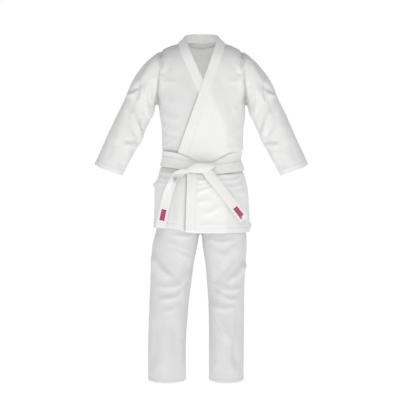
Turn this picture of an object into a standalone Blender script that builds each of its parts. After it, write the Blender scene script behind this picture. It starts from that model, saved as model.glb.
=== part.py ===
"""Martial arts uniform: a wrap-over cotton jacket with its tied belt, and trousers.

Metres, +Z up. The wearer faces -Y and the wearer's left is +X. The origin is at
mid-depth, level with the points where the collar leaves the shoulders. Every cloth
panel is an open surface lofted between body sections, made solid by Solidify.
"""

import math

import bpy
from mathutils import Vector

COLLECTION_NAME = "martial_arts_uniform"

# Driving dimensions
CLOTH = 0.0022              # panel thickness, one cloth layer with its facings
SEAM_GAP = 0.0012           # space left between neighbouring panels
LAYER = 0.0036              # step between cloth layers that lie on each other
SHOULDER_EASE = 0.0020      # the lapels stand this much further off the shoulders
BAND_WIDTH = 0.040          # collar and lapel band, and the belt
BELT_THICKNESS = 0.0032
FRONT_STACK = 0.0100        # the crossed fronts lift the belt this much
NECK_HALF_WIDTH = 0.061     # from the middle to the lapel's inner edge at the neck
NECK_HEIGHT = 0.012
OUTER_LAPEL_SLOPE = 0.348   # how fast the outer lapel crosses the body, per metre down
INNER_LAPEL_SLOPE = 0.444
INNER_EDGE_X = 0.095        # the inner front reaches this far under the outer one
OUTER_EDGE_X = -0.064       # free edge of the outer front below the belt
ARMHOLE_X = 0.1695
ARMPIT_Z = -0.224
UPPER_END_Z = -0.5045       # the body panels end here in front, under the belt
SKIRT_TOP_Z = -0.5090
VENT_DROP = 0.068           # the side vents open this much lower
VENT_REACH = (-0.420, -0.630)
HEM_FOLD = 0.022
HEM_Z = -0.757
PANEL_OVERHANG = 0.008      # the lapels lie this far over the panels' edges
SIDE_SEAM = math.radians(0.35)
LINING_DEPTH = 0.190        # the shoulder lining reaches this far down
VENT_PATCH_Z = (-0.544, -0.555, -0.566)
VENT_PATCH_HALF_ANGLE = math.radians(7)
BELT_UPPER_Z = (-0.476, -0.437)
BELT_LOWER_Z = (-0.4855, -0.4465)
BELT_UPPER_LIFT = 0.0065    # the upper turn lies under the lower one
BELT_LOWER_LIFT = 0.0110
BELT_DIP = 0.033            # the belt's turns dip this much towards the knot
BELT_SLANT = 0.007          # and are this much lower on the wearer's left
KNOT_SIZE = Vector((0.084, 0.020, 0.040))
KNOT_CENTRE = Vector((0.006, -0.1485, -0.497))
KNOT_TILT = math.radians(-6)
KNOT_ROUNDING = 0.008
# The hanging belt ends, from the knot to the tip, and how wide the folded one is
LEFT_BELT_END = (
    (0.030, -0.148, -0.536), (0.070, -0.147, -0.592), (0.115, -0.146, -0.652),
    (0.162, -0.145, -0.712),
)
RIGHT_BELT_END = (
    (-0.052, -0.148, -0.534), (-0.082, -0.149, -0.537), (-0.104, -0.149, -0.552),
    (-0.120, -0.148, -0.586), (-0.145, -0.146, -0.640), (-0.163, -0.145, -0.738),
)
RIGHT_END_WIDTHS = (0.024, 0.024, 0.026, 0.032, BAND_WIDTH, BAND_WIDTH)
LABEL_THICKNESS = 0.0010
LABEL_LENGTH = 0.040
LABEL_WIDTH = 0.022
LABEL_TO_TIP = 0.024        # from the label's end to the tip of the belt
SIZE_TAB_LENGTH = 0.006
SIZE_TAB_WIDTH = 0.012
SIZE_TAB_TO_TIP = 0.015
SHOULDER_PIVOT = Vector((0.171, 0.0, -0.114))
SLEEVE_LEAN = math.radians(24.8)
SLEEVE_HALF_WIDTH = 0.0625
SLEEVE_HALF_DEPTH = 0.062
SLEEVE_TOP_RADIUS = 0.0865  # from the shoulder's pivot to the top of the turning sleeve
SLEEVE_TOP_LEAN = math.radians(75)
ARMPIT_X = 0.1825
CUFF_CENTRE = Vector((0.376, 0.0, -0.496))
CUFF_HALF_WIDTH = 0.0615
CUFF_SHARE = 0.07           # share of the sleeve's length that is the cuff's hem
SKIRT_HINGE = Vector((0.0, -0.130, -0.505))
LEG_HINGE_Z = -0.760
CROTCH_Z = -0.745
TROUSER_WAIST_Z = -0.462
LEG_END_Z = -1.371
LEG_HEM = 0.026
ELASTIC_THICKNESS = 0.0014
ELASTIC_INSET = 0.006       # the elastic ends this far inside the waistband's edges
GUSSET_WIDTH = 0.012
GUSSET_HALF_DEPTH = 0.112
GUSSET_DROP = 0.024

# Sections: height, half width, depth to the front, depth to the back
BODY = (
    (0.004, 0.104, 0.064, 0.068),
    (-0.005, 0.132, 0.075, 0.079),
    (-0.016, 0.161, 0.086, 0.090),
    (-0.041, 0.195, 0.096, 0.101),
    (-0.070, 0.213, 0.102, 0.108),
    (-0.120, 0.213, 0.109, 0.113),
    (-0.180, 0.203, 0.115, 0.116),
    (-0.224, 0.180, 0.118, 0.116),
    (-0.330, 0.164, 0.112, 0.108),
    (-0.420, 0.157, 0.103, 0.099),
    (-0.460, 0.151, 0.098, 0.094),
    (-0.500, 0.163, 0.105, 0.101),
    (-0.575, 0.188, 0.120, 0.118),
    (-0.660, 0.193, 0.126, 0.124),
    (-0.757, 0.199, 0.130, 0.128),
)
SEAT = (
    (-0.462, 0.134, 0.086, 0.084),
    (-0.500, 0.145, 0.091, 0.089),
    (-0.575, 0.174, 0.107, 0.105),
    (-0.660, 0.183, 0.112, 0.110),
    (-0.745, 0.188, 0.113, 0.112),
)
# Legs: height, middle, half width, half depth
RIGHT_LEG = (
    (-0.752, -0.093, 0.080, 0.084),
    (-0.800, -0.105, 0.091, 0.088),
    (-0.900, -0.119, 0.087, 0.087),
    (-1.000, -0.1285, 0.082, 0.086),
    (-1.240, -0.141, 0.0775, 0.082),
    (-1.371, -0.141, 0.0775, 0.081),
)
LEFT_LEG = (
    (-0.752, 0.092, 0.082, 0.084),
    (-0.800, 0.094, 0.091, 0.088),
    (-0.900, 0.0975, 0.081, 0.087),
    (-1.000, 0.100, 0.0745, 0.085),
    (-1.240, 0.102, 0.0715, 0.080),
    (-1.371, 0.102, 0.0715, 0.079),
)
# Rings of the sleeve's head: middle x and z, lean, half height, half depth, roundness
SLEEVE_HEAD = (
    (ARMHOLE_X + SEAM_GAP, -0.122, 0.00, 0.0985, 0.0600, 2.5),
    (0.184, -0.130, 0.20, 0.0925, 0.0595, 2.4),
    (0.200, -0.142, 0.34, 0.0840, 0.0585, 2.3),
)
# Rings of the sleeve below its top: share of its length, half width
SLEEVE_RINGS = (
    (0.17, 0.0660), (0.36, SLEEVE_HALF_WIDTH), (0.62, SLEEVE_HALF_WIDTH),
    (0.93, CUFF_HALF_WIDTH),
)
BODY_POWER = 2.4
SEAT_POWER = 2.6
LEG_POWER = 2.15

# Colours and finishes: base colour, roughness
JACKET_COTTON = ((0.83, 0.83, 0.82), 0.85)
TROUSER_COTTON = ((0.76, 0.76, 0.76), 0.88)
BELT_COTTON = ((0.85, 0.85, 0.84), 0.80)
LABEL_RED = ((0.55, 0.10, 0.17), 0.65)
TAG_GREY = ((0.25, 0.25, 0.27), 0.60)
ELASTIC_WHITE = ((0.72, 0.72, 0.72), 0.70)


def clear_scene():
    """Remove what the file opened with, so that only the part is built."""
    for item in list(bpy.data.objects):
        bpy.data.objects.remove(item, do_unlink=True)


def part_collection():
    """Make the collection that holds the part's pieces."""
    group = bpy.data.collections.new(COLLECTION_NAME)
    bpy.context.scene.collection.children.link(group)
    return group


def finish(item, look):
    """Give a piece its own Principled material, smooth sides and crisp edges."""
    colour, roughness = look
    material = bpy.data.materials.new(item.name)
    material.use_nodes = True
    shader = material.node_tree.nodes["Principled BSDF"]
    shader.inputs["Base Color"].default_value = (*colour, 1.0)
    shader.inputs["Roughness"].default_value = roughness
    shader.inputs["Metallic"].default_value = 0.0
    item.data.materials.append(material)
    item.data.shade_smooth()
    return item


def at_height(sections, height):
    """Read a stack of sections at any height, along smooth curves between them."""
    heights = [row[0] for row in sections]
    last = len(sections) - 1
    place = 0
    while place < last - 1 and height < heights[place + 1]:
        place += 1
    span = heights[place + 1] - heights[place]
    t = min(max((height - heights[place]) / span, 0.0), 1.0)
    values = []
    for column in range(1, len(sections[0])):
        before, after = sections[place][column], sections[place + 1][column]
        slopes = []
        for end in (place, place + 1):
            low, high = max(end - 1, 0), min(end + 1, last)
            rise = sections[high][column] - sections[low][column]
            slopes.append(rise / (heights[high] - heights[low]) * span)
        values.append(
            (2 * t**3 - 3 * t**2 + 1) * before
            + (t**3 - 2 * t**2 + t) * slopes[0]
            + (3 * t**2 - 2 * t**3) * after
            + (t**3 - t**2) * slopes[1]
        )
    return values


def heights_between(sections, top, bottom, step):
    """Row heights from top to bottom: every section met, and no step longer than given."""
    marks = [top]
    marks += [row[0] for row in sections if bottom + 0.004 < row[0] < top - 0.004]
    marks.append(bottom)
    rows = []
    for upper, lower in zip(marks, marks[1:]):
        count = max(1, math.ceil((upper - lower) / step))
        rows += [upper + (lower - upper) * i / count for i in range(count)]
    return rows + [bottom]


def signed_power(value, power):
    return math.copysign(abs(value) ** power, value)


def section_point(sections, power, angle, height):
    """A point of a stack of sections. Angle 0 is the wearer's left, -90 degrees the front."""
    width, front, back = at_height(sections, height)
    depth = front if angle < 0 else back
    root = 2.0 / power
    return Vector((
        width * signed_power(math.cos(angle), root),
        depth * signed_power(math.sin(angle), root),
        height,
    ))


def lifted_point(sections, power, angle, height, offset):
    """A point at a distance from a stack of sections, along the surface's normal."""
    point = section_point(sections, power, angle, height)
    if offset == 0.0:
        return point
    turn, step = 0.05, 0.002
    around = (section_point(sections, power, angle + turn, height)
              - section_point(sections, power, angle - turn, height))
    down = (section_point(sections, power, angle, height - step)
            - section_point(sections, power, angle, min(height + step, sections[0][0])))
    return point + down.cross(around).normalized() * offset


def body_point(angle, height, offset=0.0):
    """A point of the jacket's surface, or of a layer lying over it."""
    return lifted_point(BODY, BODY_POWER, angle, height, offset)


def vent_height(angle, height):
    """Height of a panel's row at an angle: rows near the hips dip towards the side vents."""
    top, bottom = VENT_REACH
    if not bottom < height < top:
        return height
    span = top - UPPER_END_Z if height > UPPER_END_Z else UPPER_END_Z - bottom
    near = 1.0 - abs(height - UPPER_END_Z) / span
    return height - VENT_DROP * near * math.cos(angle) ** 2


def angle_at(x, height):
    """The angle, 0 to 180 degrees, at which the jacket's surface passes through x."""
    width = at_height(BODY, height)[0]
    reach = min(abs(x) / width, 1.0) ** (BODY_POWER / 2.0)
    return math.acos(math.copysign(reach, x))


def front_point(x, height, offset):
    """A point on the jacket's front at a given x, lifted by offset."""
    level = vent_height(angle_at(x, height), height)
    return body_point(-angle_at(x, level), level, offset)


def side_angle(height):
    """Where a panel ends at the side: the side seam, the armhole or the shoulder seam."""
    if height < ARMPIT_Z:
        return SIDE_SEAM
    return max(SIDE_SEAM, angle_at(ARMHOLE_X, height))


def outer_edge_x(height):
    """Inner edge of the outer lapel, which crosses from the neck to the right hip."""
    return NECK_HALF_WIDTH - OUTER_LAPEL_SLOPE * (NECK_HEIGHT - height)


def inner_edge_x(height):
    """Inner edge of the inner lapel, which passes under the outer front."""
    return min(-NECK_HALF_WIDTH + INNER_LAPEL_SLOPE * (NECK_HEIGHT - height), INNER_EDGE_X)


def face_outwards(mesh, ring):
    """Turn the faces away from a tube's middle, or from the body's upright axis."""
    middle = sum((v.co for v in mesh.vertices), Vector()) / len(mesh.vertices)
    total = 0.0
    for face in mesh.polygons:
        inside = middle if ring else Vector((0.0, 0.0, face.center.z))
        total += face.normal.dot(face.center - inside)
    if total < 0:
        mesh.flip_normals()


def surface(name, rows, look, group, thickness=CLOTH, ring=False, offset=-1.0):
    """Make a grid of points into a cloth piece: an open surface with Solidify."""
    count = len(rows[0])
    vertices = [point for row in rows for point in row]
    faces = []
    for r in range(len(rows) - 1):
        for c in range(count if ring else count - 1):
            d = (c + 1) % count
            faces.append((r * count + c, (r + 1) * count + c, (r + 1) * count + d, r * count + d))
    mesh = bpy.data.meshes.new(name)
    mesh.from_pydata(vertices, [], faces)
    face_outwards(mesh, ring)
    item = bpy.data.objects.new(name, mesh)
    group.objects.link(item)
    wall = item.modifiers.new("cloth", "SOLIDIFY")
    wall.thickness = thickness
    wall.offset = offset
    return finish(item, look)


def panel(name, group, heights, start, end, columns, lift=None, look=JACKET_COTTON):
    """A panel of the jacket between two edges, given as angles that vary with height."""
    rows = []
    for height in heights:
        first, last = start(height), end(height)
        row = []
        for i in range(columns + 1):
            angle = first + (last - first) * i / columns
            level = vent_height(angle, height)
            row.append(body_point(angle, level, lift(angle) if lift else 0.0))
        rows.append(row)
    return surface(name, rows, look, group)


def front_band(name, group, heights, edge_x, side, lift, look=JACKET_COTTON):
    """A lapel: a band on the front, outward of an edge line. Side is +1 for wearer's left."""
    step = 0.01
    rows = []
    for height in heights:
        lean = math.atan2(edge_x(height + step) - edge_x(height - step), 2 * step)
        across = Vector((math.cos(lean), -math.sin(lean)))
        edge = Vector((edge_x(height), height))
        row = []
        for i in range(4):
            spot = edge + across * side * BAND_WIDTH * i / 3
            ease = SHOULDER_EASE * max(0.0, 1.0 + height / 0.05)
            row.append(front_point(spot.x, spot.y, lift + ease))
        rows.append(row)
    return surface(name, rows, look, group)


def outer_lift(angle):
    """The outer front lies on the side seam and rises over the inner front."""
    return 2 * LAYER * min(abs(angle) / math.radians(35), 1.0)


def upper_rows(top):
    """Rows from the shoulders to the belt, closer together where the body curves most."""
    shoulder, waist = BODY[3][0], VENT_REACH[0]
    return (heights_between(BODY, top, shoulder, 0.0125)[:-1]
            + heights_between(BODY, shoulder, waist, 0.055)[:-1]
            + heights_between(BODY, waist, UPPER_END_Z, 0.022))


def jacket_panels(group):
    """Two backs, two fronts that cross, and the lining that strengthens the shoulders."""
    rows = upper_rows(BODY[0][0])
    panel(
        "left_back_panel", group, rows,
        lambda z: angle_at(SEAM_GAP / 2, z), side_angle, 7,
    )
    panel(
        "right_back_panel", group, rows,
        lambda z: math.pi - side_angle(z),
        lambda z: math.pi - angle_at(SEAM_GAP / 2, z), 7,
    )
    rows = upper_rows(-0.004)
    panel(
        "left_front_panel", group, rows,
        lambda z: -side_angle(z),
        lambda z: -angle_at(outer_edge_x(z) + PANEL_OVERHANG, z), 11, outer_lift,
    )
    panel(
        "right_front_panel", group, rows,
        lambda z: -angle_at(inner_edge_x(z) - PANEL_OVERHANG, z),
        lambda z: side_angle(z) - math.pi, 11,
    )
    lining = heights_between(BODY, -0.012, -LINING_DEPTH, 0.045)
    panel(
        "shoulder_lining", group, lining,
        lambda z: math.pi - side_angle(z) - math.radians(3),
        lambda z: side_angle(z) + math.radians(3), 10, lambda angle: -1.6 * LAYER,
    )


def collar_and_lapels(group):
    """The band that runs round the neck and down both fronts to the belt."""
    upper = (
        (NECK_HALF_WIDTH + 0.002, -0.050, 0.016), (0.0725, -0.004, 0.035),
        (0.058, 0.038, 0.041), (0.030, 0.059, 0.044), (0.0, 0.065, 0.045),
    )
    lower = (
        (0.1010, -0.054, 0.0045), (0.0985, -0.004, 0.0125),
        (0.078, 0.046, 0.013), (0.042, 0.069, 0.0145), (0.0, 0.076, 0.0150),
    )
    edges = []
    for line in (upper, lower):
        mirrored = [(-x, y, z) for x, y, z in line[-2::-1]]
        edges.append(smooth_path([Vector(p) for p in (*line, *mirrored)], 3))
    rows = [[a.lerp(b, i / 3) for a, b in zip(*edges)] for i in range(4)]
    surface("back_collar", rows, JACKET_COTTON, group)
    rows = upper_rows(-0.004)
    front_band("left_lapel", group, rows, outer_edge_x, 1, 3 * LAYER)
    front_band("right_lapel", group, rows, inner_edge_x, -1, LAYER)


def smooth_path(points, steps):
    """Catmull-Rom curve through the points, with the given steps between two of them."""
    path = []
    for i in range(len(points) - 1):
        p0, p1 = points[max(i - 1, 0)], points[i]
        p2, p3 = points[i + 1], points[min(i + 2, len(points) - 1)]
        for s in range(steps):
            t = s / steps
            path.append(0.5 * (
                2 * p1 + (p2 - p0) * t + (2 * p0 - 5 * p1 + 4 * p2 - p3) * t * t
                + (3 * p1 - p0 - 3 * p2 + p3) * t**3
            ))
    return path + [points[-1].copy()]


def oval(centre, tall, wide, half_tall, half_wide, power, count):
    """A closed superellipse ring of points about a centre."""
    root = 2.0 / power
    ring = []
    for i in range(count):
        angle = 2 * math.pi * i / count
        ring.append(
            centre
            + tall * half_tall * signed_power(math.cos(angle), root)
            + wide * half_wide * signed_power(math.sin(angle), root)
        )
    return ring


def mirror_rows(rows, side):
    """Rows as they are for the wearer's left, or mirrored for the right."""
    if side > 0:
        return rows
    return [[Vector((-p.x, p.y, p.z)) for p in row] for row in rows]


def sleeve(group, side, prefix):
    """A sleeve head that stays on the jacket, and the sleeve that turns under it."""
    count = 18
    front = Vector((0, 1, 0))
    outwards = Vector((math.sin(SLEEVE_TOP_LEAN), 0, math.cos(SLEEVE_TOP_LEAN)))
    top = SHOULDER_PIVOT + outwards * SLEEVE_TOP_RADIUS
    armpit = Vector((ARMPIT_X, 0, ARMPIT_Z))
    slant = (top - armpit).normalized()
    half = (top - armpit).length / 2
    middle = (top + armpit) / 2
    out = Vector((slant.z, 0, -slant.x))
    head = []
    for x, z, lean, tall, deep, power in SLEEVE_HEAD:
        leaning = Vector((lean, 0, 1)).normalized()
        head.append(oval(Vector((x, 0, z)), leaning, front, tall, deep, power, count))
    head.append(oval(middle - out * 0.003, slant, front, half - 0.0042, 0.0575, 2.2, count))
    surface(f"{prefix}_sleeve_head", mirror_rows(head, side), JACKET_COTTON, group, ring=True)

    down = Vector((math.sin(SLEEVE_LEAN), 0, -math.cos(SLEEVE_LEAN)))
    across = Vector((down.z, 0, -down.x)) * -1
    length = (CUFF_CENTRE - middle).dot(down)
    rings = [oval(middle, slant, front, half, 0.0625, 2.2, count)]
    squared = SLEEVE_RINGS[1][0]
    for part, half_width in SLEEVE_RINGS:
        centre = CUFF_CENTRE - down * length * (1 - part)
        turn = min(part / squared, 1.0)
        tall = slant.lerp(across, turn).normalized()
        rings.append(oval(centre, tall, front, half_width, SLEEVE_HALF_DEPTH, 2.1, count))
    surface(f"{prefix}_sleeve", mirror_rows(rings, side), JACKET_COTTON, group, ring=True)

    cuff = []
    for distance in (length * CUFF_SHARE - SEAM_GAP, 0.0):
        cuff.append(oval(
            CUFF_CENTRE - down * distance, across, front,
            CUFF_HALF_WIDTH, SLEEVE_HALF_DEPTH, 2.1, count,
        ))
    surface(f"{prefix}_cuff_hem", mirror_rows(cuff, side), JACKET_COTTON, group,
            thickness=2 * CLOTH, ring=True)


def skirts(group):
    """The jacket below the belt: two fronts that cross, the back, and their hems."""
    body = heights_between(BODY, SKIRT_TOP_Z, HEM_Z + HEM_FOLD + SEAM_GAP, 0.045)
    hem = [HEM_Z + HEM_FOLD, HEM_Z]
    for rows, ending in ((body, "skirt"), (hem, "skirt_hem")):
        panel(f"left_front_{ending}", group, rows, lambda z: -SIDE_SEAM,
              lambda z: -angle_at(OUTER_EDGE_X + PANEL_OVERHANG, z), 11, outer_lift)
        panel(f"right_front_{ending}", group, rows,
              lambda z: -angle_at(INNER_EDGE_X - PANEL_OVERHANG, z),
              lambda z: SIDE_SEAM - math.pi, 11)
        panel(f"back_{ending}", group, rows,
              lambda z: math.pi - SIDE_SEAM, lambda z: SIDE_SEAM, 14)
    band = body[:-1] + [HEM_Z + HEM_FOLD, HEM_Z]
    front_band("left_skirt_lapel", group, band, lambda z: OUTER_EDGE_X, 1, 3 * LAYER)
    front_band("right_skirt_lapel", group, band, lambda z: INNER_EDGE_X, -1, LAYER)


def vent_patches(group):
    """A patch sewn over each side seam where the vent begins."""
    for side, prefix in ((1, "left"), (-1, "right")):
        rows = []
        for height in VENT_PATCH_Z:
            row = []
            for i in range(5):
                angle = VENT_PATCH_HALF_ANGLE * (i / 2 - 1)
                point = body_point(angle, height, 2 * CLOTH)
                row.append(Vector((point.x * side, point.y, point.z)))
            rows.append(row)
        surface(f"{prefix}_vent_patch", rows, JACKET_COTTON, group, thickness=LABEL_THICKNESS)


def belt_ring(name, group, span, lift):
    """One turn of the belt round the waist: it dips in front and clears the fronts."""
    rows = []
    for height in (span[1], (span[0] + span[1]) / 2, span[0]):
        row = []
        for i in range(30):
            angle = math.radians(12 * i - 180)
            front = max(-math.sin(angle), 0.0)
            level = height - BELT_DIP * front**2 - BELT_SLANT * 2 * front * math.cos(angle)
            row.append(body_point(angle, level, lift + FRONT_STACK * min(1.4 * front, 1.0)))
        rows.append(row)
    surface(name, rows, BELT_COTTON, group, thickness=BELT_THICKNESS, ring=True)


def ribbon(name, group, path, widths, thickness, look, axis=Vector((0, 1, 0))):
    """A flat strip along a path, as wide as given at each of the path's points."""
    rows = []
    last = len(path) - 1
    for i, point in enumerate(path):
        along = (path[min(i + 1, last)] - path[max(i - 1, 0)]).normalized()
        across = along.cross(axis).normalized()
        rows.append([point + across * widths[i] * (c / 2 - 0.5) for c in range(3)])
    return surface(name, rows, look, group, thickness=thickness, offset=0.0)


def belt(group):
    """The belt: two turns, the flat knot, two hanging ends and their labels."""
    belt_ring("belt_upper_wrap", group, BELT_UPPER_Z, BELT_UPPER_LIFT)
    belt_ring("belt_lower_wrap", group, BELT_LOWER_Z, BELT_LOWER_LIFT)

    bpy.ops.mesh.primitive_cube_add(size=1.0)
    knot = bpy.context.object
    knot.name = "belt_knot"
    for owner in list(knot.users_collection):
        owner.objects.unlink(knot)
    group.objects.link(knot)
    for vertex in knot.data.vertices:
        vertex.co = vertex.co * KNOT_SIZE
    knot.location = KNOT_CENTRE
    knot.rotation_euler = (0.0, KNOT_TILT, 0.0)
    rounding = knot.modifiers.new("soft_edges", "BEVEL")
    rounding.width = KNOT_ROUNDING
    rounding.segments = 3
    finish(knot, BELT_COTTON)

    left = [Vector(point) for point in LEFT_BELT_END]
    right = [Vector(point) for point in RIGHT_BELT_END]
    ribbon("left_belt_end", group, left, [BAND_WIDTH] * len(left), BELT_THICKNESS, BELT_COTTON)
    ribbon("right_belt_end", group, right, RIGHT_END_WIDTHS, BELT_THICKNESS, BELT_COTTON)
    raised = Vector((0, -BELT_THICKNESS / 2 - LABEL_THICKNESS, 0))
    for name, line, to_tip, length, width, look in (
        ("left_belt_label", left, LABEL_TO_TIP, LABEL_LENGTH, LABEL_WIDTH, LABEL_RED),
        ("right_belt_label", right, LABEL_TO_TIP, LABEL_LENGTH, LABEL_WIDTH, LABEL_RED),
        ("belt_size_tab", left, SIZE_TAB_TO_TIP - SIZE_TAB_LENGTH / 2, SIZE_TAB_LENGTH,
         SIZE_TAB_WIDTH, TAG_GREY),
    ):
        along = (line[-1] - line[-2]).normalized()
        patch = [line[-1] + raised - along * (to_tip + length * share)
                 for share in (1.0, 0.5, 0.0)]
        ribbon(name, group, patch, [width] * 3, LABEL_THICKNESS, look)


def seat_point(angle, height, offset=0.0):
    """A point of the trousers between the waist and the crotch."""
    return lifted_point(SEAT, SEAT_POWER, angle, height, offset)


def trousers(group):
    """Seat halves, waistband with its elastic, gusset, legs and leg hems."""
    band_end = TROUSER_WAIST_Z - BAND_WIDTH
    rows = heights_between(SEAT, band_end - SEAM_GAP, CROTCH_Z, 0.060)
    gap = math.radians(0.4)
    for side, prefix in ((1, "left"), (-1, "right")):
        grid = []
        for height in rows:
            row = []
            for i in range(15):
                angle = (math.pi / 2 - gap) * (1 - i / 7)
                row.append(seat_point(angle, height))
            grid.append(row)
        surface(f"trousers_{prefix}_seat", mirror_rows(grid, side), TROUSER_COTTON, group)
    for name, offset, top, bottom, look in (
        ("waistband", 0.0, TROUSER_WAIST_Z, band_end, TROUSER_COTTON),
        ("waistband_elastic", -CLOTH - 0.0008, TROUSER_WAIST_Z - ELASTIC_INSET,
         band_end + ELASTIC_INSET, ELASTIC_WHITE),
    ):
        rings = []
        for height in (top, (top + bottom) / 2, bottom):
            rings.append([seat_point(math.radians(15 * i - 180), height, offset)
                          for i in range(24)])
        surface(name, rings, look, group, ring=True,
                thickness=CLOTH if look is TROUSER_COTTON else ELASTIC_THICKNESS)
    arc = []
    for i in range(9):
        angle = math.radians(-60 + 15 * i)
        height = CROTCH_Z + 0.016 - GUSSET_DROP * math.cos(angle)
        arc.append(Vector((0.0, GUSSET_HALF_DEPTH * math.sin(angle), height)))
    ribbon("crotch_gusset", group, arc, [GUSSET_WIDTH] * len(arc), CLOTH, TROUSER_COTTON,
           axis=Vector((0, 0, 1)))

    for prefix, sections in (("left", LEFT_LEG), ("right", RIGHT_LEG)):
        hem_top = LEG_END_Z + LEG_HEM
        for name, top, bottom, wall in (
            (f"{prefix}_leg", LEFT_LEG[0][0], hem_top + SEAM_GAP, CLOTH),
            (f"{prefix}_leg_hem", hem_top, LEG_END_Z, 2 * CLOTH),
        ):
            rings = []
            for height in heights_between(sections, top, bottom, 0.090):
                middle, half_width, half_depth = at_height(sections, height)
                rings.append(oval(
                    Vector((middle, 0, height)), Vector((1, 0, 0)), Vector((0, 1, 0)),
                    half_width, half_depth, LEG_POWER, 16,
                ))
            surface(name, rings, TROUSER_COTTON, group, thickness=wall, ring=True)


def main():
    clear_scene()
    group = part_collection()
    jacket_panels(group)
    collar_and_lapels(group)
    for side, prefix in ((1, "left"), (-1, "right")):
        sleeve(group, side, prefix)
    vent_patches(group)
    skirts(group)
    belt(group)
    trousers(group)


main()
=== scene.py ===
"""Martial arts uniform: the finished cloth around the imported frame.

Metres, +Z up, the wearer faces -Y. The jacket and the trousers are each made as one
closed form, evenly meshed, shaped with folds, and then cut into their cloth pieces.
"""

import math

import bmesh
import bpy
import numpy as np
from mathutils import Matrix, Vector
from mathutils.bvhtree import BVHTree


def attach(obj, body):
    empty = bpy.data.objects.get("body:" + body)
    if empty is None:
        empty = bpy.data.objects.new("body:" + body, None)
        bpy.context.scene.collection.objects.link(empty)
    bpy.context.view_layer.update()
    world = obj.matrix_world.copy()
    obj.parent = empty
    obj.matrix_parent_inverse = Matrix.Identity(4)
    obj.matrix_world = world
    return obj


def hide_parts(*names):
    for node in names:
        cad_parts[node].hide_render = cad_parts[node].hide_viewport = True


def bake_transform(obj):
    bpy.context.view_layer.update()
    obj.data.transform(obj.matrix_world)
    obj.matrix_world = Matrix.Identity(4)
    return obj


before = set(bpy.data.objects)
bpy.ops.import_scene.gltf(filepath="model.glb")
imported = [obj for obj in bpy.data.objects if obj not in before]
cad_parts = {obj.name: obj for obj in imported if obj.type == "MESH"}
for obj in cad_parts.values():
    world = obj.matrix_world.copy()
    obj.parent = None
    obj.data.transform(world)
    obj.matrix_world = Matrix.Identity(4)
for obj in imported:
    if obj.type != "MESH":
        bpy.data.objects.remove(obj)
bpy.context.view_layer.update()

CLOTH = 0.0016              # one layer of canvas
BAND = 0.0042               # collar and lapel band
BELT = 0.0036
BAND_WIDTH = 0.040
JACKET_GRID = 0.0050
TROUSER_GRID = 0.0061

# Height, half width, depth to the front, depth to the back
TORSO = np.array([
    (0.024, 0.040, 0.010, 0.052),
    (0.018, 0.062, 0.022, 0.063),
    (0.010, 0.090, 0.044, 0.071),
    (0.003, 0.116, 0.062, 0.076),
    (-0.005, 0.137, 0.075, 0.082),
    (-0.016, 0.161, 0.086, 0.090),
    (-0.041, 0.192, 0.097, 0.101),
    (-0.070, 0.205, 0.103, 0.108),
    (-0.120, 0.203, 0.109, 0.113),
    (-0.180, 0.192, 0.115, 0.116),
    (-0.224, 0.179, 0.117, 0.116),
    (-0.286, 0.170, 0.115, 0.112),
    (-0.330, 0.164, 0.112, 0.108),
    (-0.420, 0.160, 0.103, 0.099),
    (-0.460, 0.156, 0.098, 0.095),
    (-0.500, 0.166, 0.104, 0.101),
    (-0.575, 0.188, 0.119, 0.118),
    (-0.660, 0.193, 0.125, 0.124),
    (-0.757, 0.198, 0.129, 0.128),
    (-0.790, 0.199, 0.130, 0.129),
])
# Outer edge x and z, inner edge x and z, half depth
SLEEVE = np.array([
    (0.110, -0.030, 0.120, -0.190, 0.070),
    (0.140, -0.012, 0.150, -0.212, 0.082),
    (0.163, -0.018, 0.168, -0.221, 0.090),
    (0.198, -0.042, 0.1775, -0.228, 0.091),
    (0.227, -0.067, 0.1810, -0.232, 0.088),
    (0.264, -0.114, 0.1850, -0.238, 0.082),
    (0.292, -0.163, 0.1900, -0.248, 0.076),
    (0.312, -0.212, 0.1945, -0.266, 0.071),
    (0.341, -0.274, 0.2205, -0.327, 0.066),
    (0.373, -0.343, 0.2515, -0.395, 0.0635),
    (0.405, -0.412, 0.2880, -0.464, 0.062),
    (0.432, -0.470, 0.3200, -0.522, 0.062),
    (0.450, -0.508, 0.3380, -0.560, 0.062),
])
SEAT = np.array([
    (-0.442, 0.130, 0.084, 0.082),
    (-0.462, 0.134, 0.086, 0.084),
    (-0.500, 0.145, 0.091, 0.089),
    (-0.575, 0.174, 0.107, 0.105),
    (-0.660, 0.183, 0.112, 0.110),
    (-0.735, 0.187, 0.112, 0.111),
    (-0.752, 0.178, 0.102, 0.102),
])
# Height, middle, half width, half depth
RIGHT_LEG = np.array([
    (-0.690, -0.088, 0.082, 0.090),
    (-0.752, -0.097, 0.088, 0.092),
    (-0.800, -0.107, 0.092, 0.090),
    (-0.900, -0.119, 0.087, 0.087),
    (-1.000, -0.1285, 0.082, 0.086),
    (-1.240, -0.141, 0.0775, 0.082),
    (-1.371, -0.141, 0.0775, 0.081),
    (-1.400, -0.141, 0.0775, 0.081),
])
LEFT_LEG = np.array([
    (-0.690, 0.088, 0.082, 0.090),
    (-0.752, 0.094, 0.089, 0.092),
    (-0.800, 0.095, 0.091, 0.090),
    (-0.900, 0.0975, 0.081, 0.087),
    (-1.000, 0.100, 0.0745, 0.085),
    (-1.240, 0.102, 0.0715, 0.080),
    (-1.371, 0.102, 0.0715, 0.079),
    (-1.400, 0.102, 0.0715, 0.079),
])
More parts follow.
